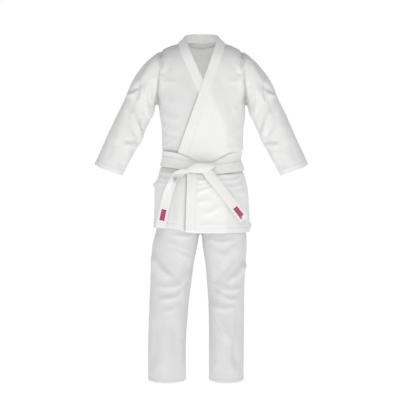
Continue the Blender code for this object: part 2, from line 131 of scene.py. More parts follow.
# Upper edges of the belt's two turns in front: x and height
UPPER_LINE = np.array([
    (-0.175, -0.4285), (-0.130, -0.4320), (-0.090, -0.4390), (-0.055, -0.4560),
    (-0.025, -0.4740), (0.010, -0.4800), (0.045, -0.4740), (0.080, -0.4560),
    (0.110, -0.4400), (0.140, -0.4330), (0.178, -0.4310),
])
LOWER_LINE = np.array([
    (-0.175, -0.4480), (-0.122, -0.4560), (-0.060, -0.4680), (0.000, -0.4805),
    (0.040, -0.4850), (0.120, -0.4760), (0.178, -0.4690),
])
# Between a circle (2) and a rectangle
TORSO_POWER = 2.4
SEAT_POWER = 2.6
TUBE_POWER = 2.15
UNDERARM = (0.1795, -0.2305)    # lowest point of the armhole: distance from the middle, height
HEM_Z = -0.757
HEM_FOLD = 0.022            # depth of a stitched hem on the jacket
TROUSER_FOLD = 0.012
WAIST_TOP = -0.4625
WAISTBAND_END = -0.5025
FLOOR_Z = -1.86             # the trousers stay above it when they have slid down
# Where along a band its points lie, closer together at its edges
COLUMNS = np.array([0, .012, .035, .075, .14, .25, .375, .5, .625, .75, .86, .925, .965, .988, 1])


# ---------------------------------------------------------------- small tools

def smoothstep(low, high, value):
    t = np.clip((value - low) / (high - low), 0.0, 1.0)
    return t * t * (3.0 - 2.0 * t)


def spline(keys, values, at):
    """Smooth curve through values at keys; keys rise."""
    keys = np.asarray(keys, float)
    values = np.asarray(values, float)
    if values.ndim == 1:
        return spline(keys, values[:, None], at)[:, 0]
    at = np.atleast_1d(np.asarray(at, float))
    slope = np.gradient(values, keys, axis=0)
    i = np.clip(np.searchsorted(keys, at, side="right") - 1, 0, len(keys) - 2)
    gap = (keys[i + 1] - keys[i])[:, None]
    t = np.clip((at[:, None] - keys[i][:, None]) / gap, 0.0, 1.0)
    a, b = values[i], values[i + 1]
    da, db = slope[i] * gap, slope[i + 1] * gap
    return ((2 * t**3 - 3 * t**2 + 1) * a + (t**3 - 2 * t**2 + t) * da
            + (-2 * t**3 + 3 * t**2) * b + (t**3 - t**2) * db)


def resample(points, count):
    """Evenly spaced points along a smooth curve through points."""
    points = np.asarray(points, float)
    lengths = np.r_[0, np.cumsum(np.linalg.norm(np.diff(points[:, :3], axis=0), axis=1))]
    fine = spline(lengths, points, np.linspace(0, lengths[-1], count * 6))
    run = np.r_[0, np.cumsum(np.linalg.norm(np.diff(fine[:, :3], axis=0), axis=1))]
    even = np.linspace(0, run[-1], count)
    return np.stack([np.interp(even, run, fine[:, k]) for k in range(fine.shape[1])], axis=1)


def unit(v):
    return v / np.maximum(np.linalg.norm(v, axis=-1, keepdims=True), 1e-12)


def hash3(i, j, k, seed):
    n = (i * 374761393 + j * 668265263 + k * 2147483647 + seed * 144665) & 0xFFFFFFFF
    n = ((n ^ (n >> 13)) * 1274126177) & 0xFFFFFFFF
    return ((n ^ (n >> 16)) & 0xFFFF) / 32767.5 - 1.0


def noise(p, size, seed):
    """Smooth value noise of about that size, from -1 to 1."""
    q = p / np.asarray(size, float)
    base = np.floor(q).astype(np.int64)
    f = q - base
    f = f * f * (3 - 2 * f)
    total = np.zeros(len(p))
    for di in (0, 1):
        for dj in (0, 1):
            for dk in (0, 1):
                weight = (np.where(di, f[:, 0], 1 - f[:, 0])
                          * np.where(dj, f[:, 1], 1 - f[:, 1])
                          * np.where(dk, f[:, 2], 1 - f[:, 2]))
                total += weight * hash3(base[:, 0] + di, base[:, 1] + dj,
                                        base[:, 2] + dk, seed)
    return total


def add_values(mesh, key, values):
    """A number or a vector for each vertex, kept with the mesh."""
    values = np.asarray(values, np.float32)
    kind, field = ("FLOAT_VECTOR", "vector") if values.ndim == 2 else ("FLOAT", "value")
    mesh.attributes.new(key, kind, "POINT").data.foreach_set(field, values.ravel())


def new_mesh(name, verts, faces, attributes=None):
    mesh = bpy.data.meshes.new(name)
    mesh.from_pydata(np.asarray(verts, float).tolist(), [], faces)
    mesh.update()
    mesh.shade_smooth()
    for key, values in (attributes or {}).items():
        add_values(mesh, key, values)
    item = bpy.data.objects.new(name, mesh)
    bpy.context.scene.collection.objects.link(item)
    return item


def bake(item):
    """Replace an object's mesh by what its modifiers make of it."""
    graph = bpy.context.evaluated_depsgraph_get()
    mesh = bpy.data.meshes.new_from_object(item.evaluated_get(graph))
    old = item.data
    item.modifiers.clear()
    item.data = mesh
    bpy.data.meshes.remove(old)
    return item


def read_array(items, key, width, kind=float):
    out = np.zeros(len(items) * width, kind)
    items.foreach_get(key, out)
    return out.reshape(-1, width)


def vertices(mesh):
    return read_array(mesh.vertices, "co", 3)


def edges(mesh):
    return read_array(mesh.edges, "vertices", 2, int)


def run_pairs(rows, cols):
    """Neighbours along the run of a grid of points."""
    index = np.arange(rows * cols).reshape(rows, cols)
    return np.stack([index[:-1].ravel(), index[1:].ravel()], 1)


def relax(points, pairs, rounds, weight=0.5):
    """Even out points along their mesh edges; weight may differ from point to point."""
    a, b = pairs[:, 0], pairs[:, 1]
    count = np.bincount(pairs.ravel(), minlength=len(points))[:, None]
    weight = np.broadcast_to(np.asarray(weight, float), (len(points),))[:, None]
    for _ in range(rounds):
        total = np.zeros_like(points)
        for k in range(points.shape[1]):
            total[:, k] = (np.bincount(a, points[b, k], len(points))
                           + np.bincount(b, points[a, k], len(points)))
        points = points + weight * (total / np.maximum(count, 1) - points)
    return points


def loft(rings):
    """Closed form through rings of equally many points."""
    rings = np.asarray(rings)
    rows, cols = rings.shape[:2]
    verts = np.vstack([rings.reshape(-1, 3), rings[0].mean(0), rings[-1].mean(0)])
    faces = []
    for i in range(rows - 1):
        for j in range(cols):
            k = (j + 1) % cols
            faces.append((i * cols + j, (i + 1) * cols + j, (i + 1) * cols + k, i * cols + k))
    top, bottom = rows * cols, rows * cols + 1
    for j in range(cols):
        k = (j + 1) % cols
        faces.append((top, j, k))
        faces.append((bottom, (rows - 1) * cols + k, (rows - 1) * cols + j))
    return verts, faces


def oval(power, count=120):
    """Unit outline between a circle and a rectangle, as x and y."""
    t = np.linspace(0, 2 * math.pi, count, endpoint=False)
    c, s = np.cos(t), np.sin(t)
    return np.stack([np.sign(c) * np.abs(c)**(2 / power),
                     np.sign(s) * np.abs(s)**(2 / power)], axis=1)


def body_rings(table, power):
    """Level rings down a body, from its half widths and depths."""
    heights = np.arange(table[0, 0], table[-1, 0], -0.004)
    rows = spline(-table[:, 0], table[:, 1:], -heights)
    outline = oval(power)
    rings = []
    for z, (half, front, back) in zip(heights, rows):
        y = outline[:, 1] * np.where(outline[:, 1] < 0, front, back)
        rings.append(np.stack([outline[:, 0] * half, y, np.full(len(y), z)], axis=1))
    return rings


def sleeve_rings(side):
    """Slanting rings down a sleeve, each between an outer and an inner edge."""
    key = np.arange(len(SLEEVE))
    rows = spline(key, SLEEVE, np.linspace(0, key[-1], 90))
    outline = oval(TUBE_POWER)
    rings = []
    for xo, zo, xi, zi, depth in rows:
        middle = np.array([(xo + xi) / 2, 0, (zo + zi) / 2])
        half = np.array([(xo - xi) / 2, 0, (zo - zi) / 2])
        ring = middle + outline[:, :1] * half + outline[:, 1:] * np.array([0, depth, 0])
        rings.append(ring * np.array([side, 1, 1]))
    return rings


def leg_rings(table):
    """Level rings down a leg."""
    heights = np.arange(table[0, 0], table[-1, 0], -0.005)
    rows = spline(-table[:, 0], table[:, 1:], -heights)
    outline = oval(TUBE_POWER)
    return [np.stack([middle + outline[:, 0] * half, outline[:, 1] * depth,
                      np.full(len(outline), z)], axis=1)
            for z, (middle, half, depth) in zip(heights, rows)]


def one_form(name, solids, grid):
    """Join closed lofts into one evenly meshed closed form."""
    verts, faces, start = [], [], 0
    for rings in solids:
        v, f = loft(rings)
        verts.append(v)
        faces += [tuple(i + start for i in face) for face in f]
        start += len(v)
    item = new_mesh(name, np.vstack(verts), faces)
    step = item.modifiers.new("grid", "REMESH")
    step.mode = "VOXEL"
    step.voxel_size = grid
    return bake(item)


def shaped_form(item, place):
    """Normals and faces of a form whose points have moved. The object isn't kept."""
    mesh = item.data
    mesh.vertices.foreach_set("co", place.ravel())
    mesh.update()
    n = read_array(mesh.vertex_normals, "vector", 3)
    faces = [tuple(face.vertices) for face in mesh.polygons]
    bpy.data.objects.remove(item, do_unlink=True)
    return n, faces


class Cloth:
    """Mesh data that is cut and shaped: place, rest place and normal of each point."""

    def __init__(self, place, rest, normal, faces):
        self.place, self.rest, self.normal, self.faces = place, rest, normal, faces

    def trimmed(self, field):
        """The part where field(rest) is 0 or more, with a clean edge."""
        data = np.hstack([self.place, self.rest, self.normal])
        value = field(self.rest).copy()
        faces = self.faces
        pairs = set()
        for face in faces:
            last = face[-1]
            for here in face:
                if (value[last] < 0) != (value[here] < 0):
                    pairs.add((min(last, here), max(last, here)))
                last = here
        pulls = {}
        for a, b in pairs:
            t = value[a] / (value[a] - value[b])
            if t < 0.3:
                pulls.setdefault(a, []).append(data[a] + t * (data[b] - data[a]))
            elif t > 0.7:
                pulls.setdefault(b, []).append(data[a] + t * (data[b] - data[a]))
        for index, places in pulls.items():
            data[index] = np.mean(places, axis=0)
            value[index] = 0.0
        extra, made = [], {}

        def crossing(a, b):
            key = (min(a, b), max(a, b))
            if key not in made:
                p, q = key
                t = value[p] / (value[p] - value[q])
                made[key] = len(data) + len(extra)
                extra.append(data[p] + t * (data[q] - data[p]))
            return made[key]

        kept = []
        for face in faces:
            inside = [value[i] >= 0 for i in face]
            if all(inside):
                kept.append(face)
                continue
            if not any(inside):
                continue
            cut = []
            last = face[-1]
            for here in face:
                if value[last] * value[here] < 0:
                    cut.append(crossing(last, here))
                if value[here] >= 0:
                    cut.append(here)
                last = here
            if len(cut) > 2 and any(i >= len(data) or value[i] > 0 for i in cut):
                kept.append(tuple(cut))
        if extra:
            data = np.vstack([data, np.array(extra)])
        used = np.unique(np.concatenate([np.array(f) for f in kept]))
        index = np.full(len(data), -1)
        index[used] = np.arange(len(used))
        kept = [tuple(int(i) for i in index[list(f)]) for f in kept]
        data = data[used]
        return Cloth(data[:, 0:3], data[:, 3:6], data[:, 6:9], kept)

    def moved(self, amount):
        return Cloth(self.place + self.normal * amount[:, None], self.rest, self.normal,
                     self.faces)


# ---------------------------------------------------------------- folds

def near_line(p, points):
    """Distance to a line of points in the XZ plane, the side it lies on, and how far along."""
    points = np.asarray(points, float)
    q = p[:, [0, 2]]
    best = np.full(len(p), 1e9)
    side = np.zeros(len(p))
    along = np.zeros(len(p))
    steps = np.diff(points, axis=0)
    lengths = np.linalg.norm(steps, axis=1)
    total = lengths.sum()
    run = 0.0
    for start, step, length in zip(points[:-1], steps, lengths):
        d = step / length
        rel = q - start
        t = np.clip(rel @ d, 0, length)
        off = rel - t[:, None] * d
        dist = np.linalg.norm(off, axis=1)
        cross = d[0] * rel[:, 1] - d[1] * rel[:, 0]
        closer = dist < best
        best = np.where(closer, dist, best)
        side = np.where(closer, np.sign(cross), side)
        along = np.where(closer, (run + t) / total, along)
        run += length
    return best, side, along


def folds(p, n, lines, face):
    """Sum of ridges and valleys. Each line, in millimetres: its points as x, z, the height
    of the cloth there, and how far it reaches to the left and right of the way it runs."""
    out = np.zeros(len(p))
    facing = smoothstep(-0.10, 0.35, -n[:, 1] if face == "front" else n[:, 1])
    for points, *measures in lines:
        points = resample(np.asarray(points, float) / 1000, 12)
        height, left, right = np.array(measures) / 1000
        reach = 3 * max(left, right)
        low, high = points.min(0) - reach, points.max(0) + reach
        box = ((p[:, 0] > low[0]) & (p[:, 0] < high[0]) & (p[:, 2] > low[1])
               & (p[:, 2] < high[1]) & (facing > 0))
        if not box.any():
            continue
        dist, side, along = near_line(p[box], points)
        taper = smoothstep(0.0, 0.30, along) * smoothstep(0.0, 0.30, 1.0 - along)
        width = np.where(side > 0, left, right)
        out[box] += height * taper * np.exp(-(dist / width)**2) * facing[box]
    return out


def mirrored(lines, share=1.0):
    """The same folds on the other half, a little different so the halves don't match."""
    out = []
    for points, height, left, right in lines:
        points = [(-x + 2 * math.sin(0.07 * z), z - 2) for x, z in points]
        out.append((points, height * share, right, left))
    return out


SLEEVE_FOLDS = [
    # the ridge down the sleeve from the shoulder, and the hollow outside it
    ([(-162, -32), (-192, -62), (-212, -94), (-232, -126), (-246, -160)],
     7, 22, 10),
    ([(-196, -44), (-224, -76), (-248, -110), (-264, -150)], -4, 9, 12),
    # its hooked end
    ([(-304, -192), (-280, -180), (-263, -168), (-254, -148)], -7, 6, 7),
    ([(-304, -206), (-280, -197), (-264, -192)], 4.6, 10, 10),
    ([(-256, -156), (-257, -190), (-262, -226)], -6, 6, 6),
    ([(-244, -160), (-246, -200), (-252, -240)], 4.4, 9, 7),
    ([(-276, -205), (-277, -240), (-284, -278)], -3, 7, 6),
    # the loop of cloth at the top of the armhole
    ([(-154.5, -34), (-149, -66), (-154.5, -104)], 4.8, 5.5, 6),
    ([(-169, -40), (-171.5, -72), (-165, -104)], 4.4, 6, 5.5),
    ([(-161, -52), (-160, -80), (-160, -98)], -5, 4.5, 4.5),
    ([(-168, -112), (-157, -116), (-144, -108)], -3.6, 5, 5),
    # drag lines between the armhole and the elbow
    ([(-208, -110), (-220, -165), (-230, -215), (-222, -270), (-212, -305)],
     5.6, 13, 12),
    ([(-196, -135), (-193, -180), (-195, -230)], -4.6, 7, 7),
    ([(-240, -190), (-236, -240), (-228, -288)], -3.4, 7, 6),
    ([(-188, -246), (-196, -277), (-212, -304)], 5.6, 14, 14),
    # folds that meet inside the elbow
    ([(-308, -252), (-295, -306), (-270, -353), (-250, -382)], -5.6, 6, 9),
    ([(-288, -236), (-270, -298), (-250, -355), (-240, -376)], 6.4, 11, 11),
    ([(-236, -292), (-240, -325), (-238, -352)], -5, 6, 7),
    ([(-246, -384), (-280, -388), (-318, -386)], -4.6, 7, 6),
    ([(-244, -398), (-284, -404), (-326, -402)], 4.6, 12, 9),
    ([(-234, -362), (-243, -382), (-258, -402)], 6, 11, 11),
    # forearm
    ([(-336, -300), (-334, -350), (-344, -410)], 3, 14, 16),
    ([(-372, -370), (-368, -420), (-384, -470)], -2.6, 12, 12),
    ([(-300, -430), (-318, -466), (-340, -502)], -2.6, 10, 12),
    ([(-282, -420), (-296, -452), (-314, -486)], 3, 10, 12),
]
CHEST_FOLDS = [
    ([(-168, -152), (-132, -150), (-96, -158)], 3.4, 14, 7),
    ([(-172, -200), (-140, -226), (-96, -250)], 3, 18, 12),
    ([(-172, -262), (-130, -296), (-72, -304)], 4, 16, 9),
    ([(-164, -318), (-120, -348), (-84, -350)], 3.8, 14, 8),
    ([(-158, -360), (-122, -384), (-84, -380)], 3.6, 11, 7),
    ([(-152, -412), (-124, -398), (-96, -404)], 3.2, 9, 6),
    ([(-112, -40), (-106, -90), (-108, -140)], 2.6, 16, 14),
    ([(-130, -50), (-128, -80), (-134, -108)], -2.2, 8, 8),
]
LEFT_CHEST_FOLDS = [
    ([(168, -152), (140, -148), (112, -158)], 3, 8, 14),
    ([(172, -226), (148, -256), (120, -268)], 3.4, 10, 15),
    ([(164, -320), (140, -352), (112, -396)], 4.2, 12, 16),
    ([(154, -372), (126, -402), (100, -436)], 4, 9, 12),
    ([(70, -140), (88, -220), (100, -320)], 2.6, 22, 20),
    ([(96, -50), (100, -110), (94, -170)], 2.8, 16, 14),
    ([(132, -50), (130, -80), (136, -108)], -2.2, 8, 8),
    ([(-30, -300), (0, -360), (10, -420)], 1.6, 20, 20),
]
SKIRT_FOLDS = [
    ([(-46, -540), (-12, -553), (30, -546)], 4, 9, 6),
    ([(-50, -566), (-10, -572), (40, -560)], 3, 8, 6),
    ([(-50, -608), (-12, -596), (44, -580)], 4.6, 9, 6),
    ([(-48, -640), (0, -638), (46, -628)], 3, 12, 8),
    ([(-10, -692), (44, -676), (88, -642)], 3.4, 14, 10),
    ([(56, -520), (96, -532), (150, -526)], 6, 9, 6),
    ([(70, -546), (106, -553), (164, -540)], 5.6, 9, 6),
    ([(90, -570), (124, -578), (172, -560)], 4, 10, 7),
    ([(128, -610), (150, -600), (184, -604)], 2.6, 14, 10),
    ([(-172, -512), (-136, -524), (-92, -518)], 4, 10, 6),
    ([(-176, -536), (-142, -546), (-122, -540)], 4.2, 9, 6),
    ([(-184, -566), (-158, -560), (-128, -566)], 3.4, 10, 7),
    ([(-92, -590), (-90, -660), (-96, -745)], 4.4, 12, 8),
    ([(-116, -600), (-118, -670), (-122, -745)], -3, 9, 9),
    ([(120, -742), (40, -730), (-30, -744)], 2, 8, 12),
]
BACK_FOLDS = [
    ([(-168, -120), (-120, -132), (-50, -108)], 4, 10, 18),
    ([(166, -140), (124, -146), (70, -124)], 4, 18, 10),
    ([(-172, -210), (-128, -250), (-50, -274)], 4.8, 18, 11),
    ([(172, -220), (130, -262), (40, -290)], 4.8, 11, 18),
    ([(-158, -320), (-100, -352), (-30, -356)], 5, 16, 10),
    ([(158, -306), (96, -340), (20, -336)], 5, 10, 16),
    ([(-140, -386), (-60, -402), (20, -392)], 4.8, 12, 8),
    ([(142, -370), (80, -392), (30, -414)], 4.4, 8, 12),
    ([(-120, -520), (-126, -600), (-130, -745)], 5.6, 18, 14),
    ([(-52, -520), (-60, -610), (-52, -750)], 5, 16, 18),
    ([(30, -520), (36, -620), (28, -750)], 5.6, 18, 14),
    ([(104, -520), (114, -610), (118, -745)], 5, 15, 18),
    ([(-86, -540), (-90, -620), (-88, -750)], -3.4, 12, 12),
    ([(70, -540), (74, -620), (70, -750)], -3.4, 12, 12),
]
BACK_SLEEVE_FOLDS = [
    ([(-176, -60), (-200, -120), (-196, -205)], 5, 14, 12),
    ([(-226, -170), (-232, -230), (-262, -296)], 4.4, 14, 12),
    ([(-240, -320), (-284, -316), (-334, -294)], 6.2, 13, 8),
    ([(-246, -352), (-292, -354), (-346, -330)], 6.2, 13, 8),
    ([(-256, -386), (-304, -394), (-358, -366)], 5, 14, 9),
    ([(-352, -410), (-362, -450), (-390, -486)], 3, 14, 12),
]
TROUSER_FOLDS = [
    # wearer's right thigh: drag lines from the crotch, and the plane that slants to the knee
    ([(-128, -768), (-66, -778), (-14, -764)], 4.4, 13, 6),
    ([(-150, -798), (-94, -818), (-32, -842)], 2.2, 12, 6),
    ([(-120, -826), (-80, -854), (-36, -868)], 2.6, 14, 7),
    ([(-200, -836), (-166, -898), (-110, -960)], 8.8, 10, 26),
    ([(-36, -868), (-78, -925), (-100, -990)], -5.2, 16, 14),
    # knee
    ([(-186, -970), (-142, -986), (-104, -980), (-64, -946), (-38, -912)],
     8, 26, 8),
    ([(-182, -1036), (-140, -1031), (-106, -1026), (-78, -998), (-50, -958)],
     6.6, 14, 7),
    ([(-164, -1082), (-122, -1078), (-76, -1050)], 3.4, 16, 10),
    # shin
    ([(-206, -1110), (-190, -1210), (-204, -1330)], -3.4, 18, 14),
    ([(-122, -1100), (-104, -1180), (-104, -1270)], -3.6, 18, 18),
    ([(-160, -1120), (-150, -1220), (-156, -1340)], 3, 22, 22),
    ([(-86, -1180), (-84, -1260), (-92, -1340)], 2.6, 14, 14),
    # wearer's left thigh
    ([(14, -778), (66, -800), (146, -790)], 3.4, 12, 8),
    ([(20, -812), (66, -846), (122, -852)], 2.2, 13, 9),
    ([(188, -872), (142, -928), (98, -974)], 8.8, 15, 12),
    ([(150, -835), (112, -888), (76, -940)], -4.2, 13, 13),
    ([(150, -800), (106, -846), (80, -890)], 2.6, 9, 12),
    ([(52, -912), (60, -962), (78, -1010)], -4, 16, 14),
    # knee
    ([(44, -956), (82, -988), (124, -996), (166, -980)], 6.6, 24, 9),
    ([(48, -984), (78, -1014), (108, -1033), (160, -1030)], 6.4, 14, 7),
    ([(46, -1046), (88, -1072), (146, -1058)], 4.4, 16, 9),
    # shin
    ([(36, -1020), (62, -1100), (84, -1150), (116, -1226)], 7, 22, 10),
    ([(166, -1060), (148, -1180), (134, -1235), (158, -1330)], -5.6, 14, 18),
    ([(60, -1180), (66, -1260), (56, -1340)], 2.8, 16, 16),
    ([(128, -1200), (116, -1270), (132, -1350)], 2.8, 14, 18),
]
TROUSER_BACK_FOLDS = [
    ([(-20, -786), (-70, -818), (-150, -816)], 6, 8, 16),
    ([(24, -792), (70, -822), (150, -818)], 6, 16, 8),
    ([(-30, -846), (-80, -890), (-156, -900)], 5, 10, 18),
    ([(30, -846), (78, -890), (146, -898)], 5, 18, 10),
    ([(-60, -1030), (-118, -1018), (-192, -1032)], 7, 8, 14),
    ([(-68, -1064), (-126, -1060), (-194, -1078)], 6, 8, 14),
    ([(34, -1024), (92, -1014), (162, -1030)], 7, 14, 8),
    ([(42, -1058), (98, -1056), (162, -1074)], 6, 14, 8),
    ([(-140, -1140), (-150, -1240), (-136, -1340)], 4.4, 18, 18),
    ([(106, -1140), (96, -1240), (110, -1340)], 4.4, 18, 18),
    ([(-50, -560), (-60, -640), (-80, -720)], 4, 16, 16),
    ([(50, -560), (60, -640), (80, -720)], 4, 16, 16),
]


# ---------------------------------------------------------------- lines on the jacket

def armhole_x(z):
    """Where the sleeve is sewn on, as a distance from the middle, and below it the gap."""
    x, underarm_z = UNDERARM
    upper = np.interp(z, [underarm_z, -0.106, 0.05], [x, 0.1695, 0.163])
    return np.where(z < underarm_z, x + 0.235 * (underarm_z - z), upper)


def inner_edge_x(z):
    """Free edge of the inner front, which slants to the wearer's left going down."""
    return np.minimum(-0.061 + 0.444 * (0.012 - z), 0.095)


def outer_edge_x(z):
    """Free edge of the outer front: a slant to the belt, and nearly upright below it."""
    slant = 0.061 - 0.348 * (0.012 - z)
    below = -0.058 - 0.006 * smoothstep(-0.52, -0.75, z)
    return np.where(z > -0.44, slant, slant + (below - slant) * smoothstep(-0.44, -0.53, z))


def right_hem_z(x):
    return np.interp(x, [-0.20, -0.118, -0.067, 0.10], [-0.7415, -0.7435, -0.7545, -0.757])


def back_hem_z(x):
    return np.interp(x, [-0.20, -0.12, 0.20], [-0.7400, -0.7560, -0.7590])


def left_hem_z(x):
    return np.interp(x, [-0.07, 0.0, 0.10, 0.19], [-0.7585, -0.7635, -0.7625, -0.7590])


def turn_top_z(line, x, y):
    """Upper edge of one of the belt's turns: it dips in front, towards the knot."""
    x = np.clip(x, -0.174, 0.177)
    front = spline(line[:, 0], line[:, 1], x)
    ends = np.interp(x, line[[0, -1], 0], line[[0, -1], 1])
    return ends + (front - ends) * smoothstep(0.050, -0.050, y)


def belt_gaps(p):
    """Heights over the belt's upper edge and under its lower edge."""
    return (p[:, 2] - turn_top_z(UPPER_LINE, p[:, 0], p[:, 1]),
            turn_top_z(LOWER_LINE, p[:, 0], p[:, 1]) - BAND_WIDTH - p[:, 2])


def under_belt(p):
    """1 where the belt presses on the cloth, 0 away from it."""
    above, below = belt_gaps(p)
    return smoothstep(0.010, 0.000, above) * smoothstep(0.010, 0.000, below)


def outer_lift(rest):
    """How far the outer front stands off the body where it lies on the inner one."""
    covered = smoothstep(0.055, 0.0, rest[:, 0] - inner_edge_x(rest[:, 2]) - 0.008)
    flat = smoothstep(0.0, 0.05, -rest[:, 1])
    return 0.0054 * covered * flat


# ---------------------------------------------------------------- jacket

def jacket_form():
    item = one_form("jacket_form", [body_rings(TORSO, TORSO_POWER), sleeve_rings(1),
                                    sleeve_rings(-1)], JACKET_GRID)
    place, pairs = vertices(item.data), edges(item.data)
    # the waist is a little wider on the wearer's left, and the armholes are eased most
    waist = smoothstep(-0.230, -0.300, place[:, 2]) * smoothstep(-0.500, -0.440, place[:, 2])
    place[:, 0] += 0.009 * waist * smoothstep(0.0, 0.15, place[:, 0]) * (place[:, 0] < 0.185)
    near = (smoothstep(0.115, 0.150, np.abs(place[:, 0]))
            * smoothstep(0.270, 0.215, np.abs(place[:, 0])) * smoothstep(-0.30, -0.20, place[:, 2]))
    place = relax(place, pairs, 5)
    place = relax(place, pairs, 26, 0.5 * near)
    n, faces = shaped_form(item, place)
    amount = 1.6 * folds(place, n, SLEEVE_FOLDS + mirrored(SLEEVE_FOLDS, 0.9), "front")
    amount += 0.95 * folds(place, n, CHEST_FOLDS + LEFT_CHEST_FOLDS, "front")
    amount += folds(place, n, BACK_FOLDS + BACK_SLEEVE_FOLDS + mirrored(BACK_SLEEVE_FOLDS, 0.9),
                    "back")
    amount += 0.0016 * noise(place, (0.075, 0.075, 0.095), 3)
    amount += 0.0007 * noise(place, (0.030, 0.030, 0.040), 8)
    # the belt flattens the cloth, which gathers above and below it
    pressed = under_belt(place)
    above, below = belt_gaps(place)
    gather = smoothstep(0.050, 0.006, above) * smoothstep(0.050, 0.006, below) * (1 - pressed)
    around = np.arctan2(place[:, 1], place[:, 0])
    ripple = np.sin(around * 23 + 1.5 * np.sin(around * 4)) + 0.6 * np.sin(around * 41 + 2.0)
    body = smoothstep(0.25, 0.21, np.abs(place[:, 0]))
    amount = amount * (1 - 0.85 * pressed * body) - 0.0014 * pressed * body
    amount += (0.0009 * ripple + 0.0006) * gather * body
    # the armhole seam sits in a valley, which is deepest at the armpit
    seam = np.abs(np.abs(place[:, 0]) - armhole_x(place[:, 2]))
    in_reach = smoothstep(-0.245, -0.225, place[:, 2])
    amount -= 0.0064 * np.exp(-(seam / 0.0060)**2) * in_reach
    deep = np.exp(-(seam / 0.010)**2) * smoothstep(-0.120, -0.200, place[:, 2]) * in_reach
    amount -= 0.0100 * deep
    shaped = relax(place + n * amount[:, None], pairs, 1, 0.35)
    return Cloth(shaped, place, n, faces)


def surface_probe(cloth):
    """A function that gives the point and normal of the cloth's front at x, z."""
    tree = BVHTree.FromPolygons(cloth.place.tolist(), cloth.faces)

    def probe(x, z):
        hit, normal, _, _ = tree.ray_cast(Vector((x, -1.0, z)), Vector((0, 1, 0)))
        return (np.array(hit), np.array(normal)) if hit else (None, None)
    return probe


def solid(name, cloth, attributes):
    """Cloth given its thickness, inwards. Run is a measure for the length of the stitches."""
    run = cloth.rest @ np.array([1.0, 0.5, 1.0])
    item = new_mesh(name, cloth.place, cloth.faces,
                    {"rest": cloth.rest, "run": run, **attributes})
    step = item.modifiers.new("thickness", "SOLIDIFY")
    step.thickness = CLOTH
    step.offset = -1.0
    step.use_even_offset = False
    bake(item)
    item.data.shade_smooth()
    return item


def slab(name, grid, thickness, lift=0.0, normal=None, closed=False):
    """A flat band with round edges along a grid of points: stations by columns."""
    grid = np.asarray(grid, float)
    rows, cols = grid.shape[:2]
    along = np.gradient(grid, axis=0)
    if closed:
        along = np.gradient(np.concatenate([grid[-1:], grid, grid[:1]]), axis=0)[1:-1]
    across = np.gradient(grid, axis=1)
    n = unit(np.cross(along, across)) if normal is None else unit(normal)
    t = np.linspace(-1, 1, cols)
    width = np.linalg.norm(np.diff(grid, axis=1), axis=2).sum(1)
    run = np.r_[0, np.cumsum(np.linalg.norm(np.diff(grid.mean(1), axis=0), axis=1))]
    verts, place_across, place_along = [], [], []
    for i in range(rows):
        flat = 1 - thickness / max(width[i], 1e-6)
        beyond = np.clip((np.abs(t) - flat) / (1 - flat), 0, 1)
        half = np.sqrt(1 - beyond**2) * thickness / 2
        if not closed and i in (0, rows - 1):
            half = half * 0.3
        middle = grid[i] + n[i] * (lift + thickness / 2)
        top = middle + n[i] * half[:, None]
        bottom = middle - n[i] * half[:, None]
        ring = np.vstack([top, bottom[-2:0:-1]])
        verts.append(ring)
        place_across.append(np.r_[t, t[-2:0:-1]] * width[i] / 2)
        place_along.append(np.full(len(ring), run[i]))
    count = len(verts[0])
    faces = []
    for i in range(rows if closed else rows - 1):
        here, there = i * count, (i + 1) % rows * count
        for j in range(count):
            k = (j + 1) % count
            faces.append((here + j, there + j, there + k, here + k))
    for start, order in () if closed else ((0, 1), ((rows - 1) * count, -1)):
        for j in range(cols - 1):
            below = (count - j - 1) % count if j < cols - 2 else cols - 1
            corners = (j, j + 1, below, (count - j) % count)
            face = list(dict.fromkeys(start + corner for corner in corners))
            faces.append(tuple(face[::order]))
    verts = np.vstack(verts)
    item = new_mesh(name, verts, faces, {
        "rest": verts, "across": np.concatenate(place_across),
        "run": np.concatenate(place_along)})
    shell = bmesh.new()
    shell.from_mesh(item.data)
    bmesh.ops.recalc_face_normals(shell, faces=shell.faces)
    shell.to_mesh(item.data)
    shell.free()
    item.data.shade_smooth()
    return item


def band_columns(a, b):
    """Points across a band from a to b."""
    return a[None, :] + COLUMNS[:, None] * (b - a)[None, :]


def collar_grid():
    """Both edges of the collar from the right neck point round the back to the left one."""
    upper = np.array([(0.0600, -0.064, 0.013), (0.0625, -0.046, 0.021), (0.0655, -0.004, 0.0370),
                      (0.050, 0.038, 0.0455), (0.026, 0.059, 0.0490), (0.0, 0.065, 0.0495)])
    lower = np.array([(0.0985, -0.062, 0.004), (0.0965, -0.046, 0.0080), (0.0905, -0.004, 0.0125),
                      (0.0780, 0.047, 0.0070), (0.043, 0.0715, 0.0050), (0.0, 0.0785, 0.0040)])

    def both(side):
        flipped = side * np.array([-1, 1, 1])
        return np.vstack([flipped, side[-2::-1]])
    return resample(both(upper), 70), resample(both(lower), 70)


def lapel_edges(edge_x, heights, side):
    """Free edge and inner edge of a lapel as x, z pairs going down."""
    x = edge_x(heights)
    free = np.stack([x, heights], axis=1)
    direction = unit(np.gradient(free, axis=0))
    across = np.stack([-direction[:, 1], direction[:, 0]], axis=1) * side
    return free, free + across * BAND_WIDTH


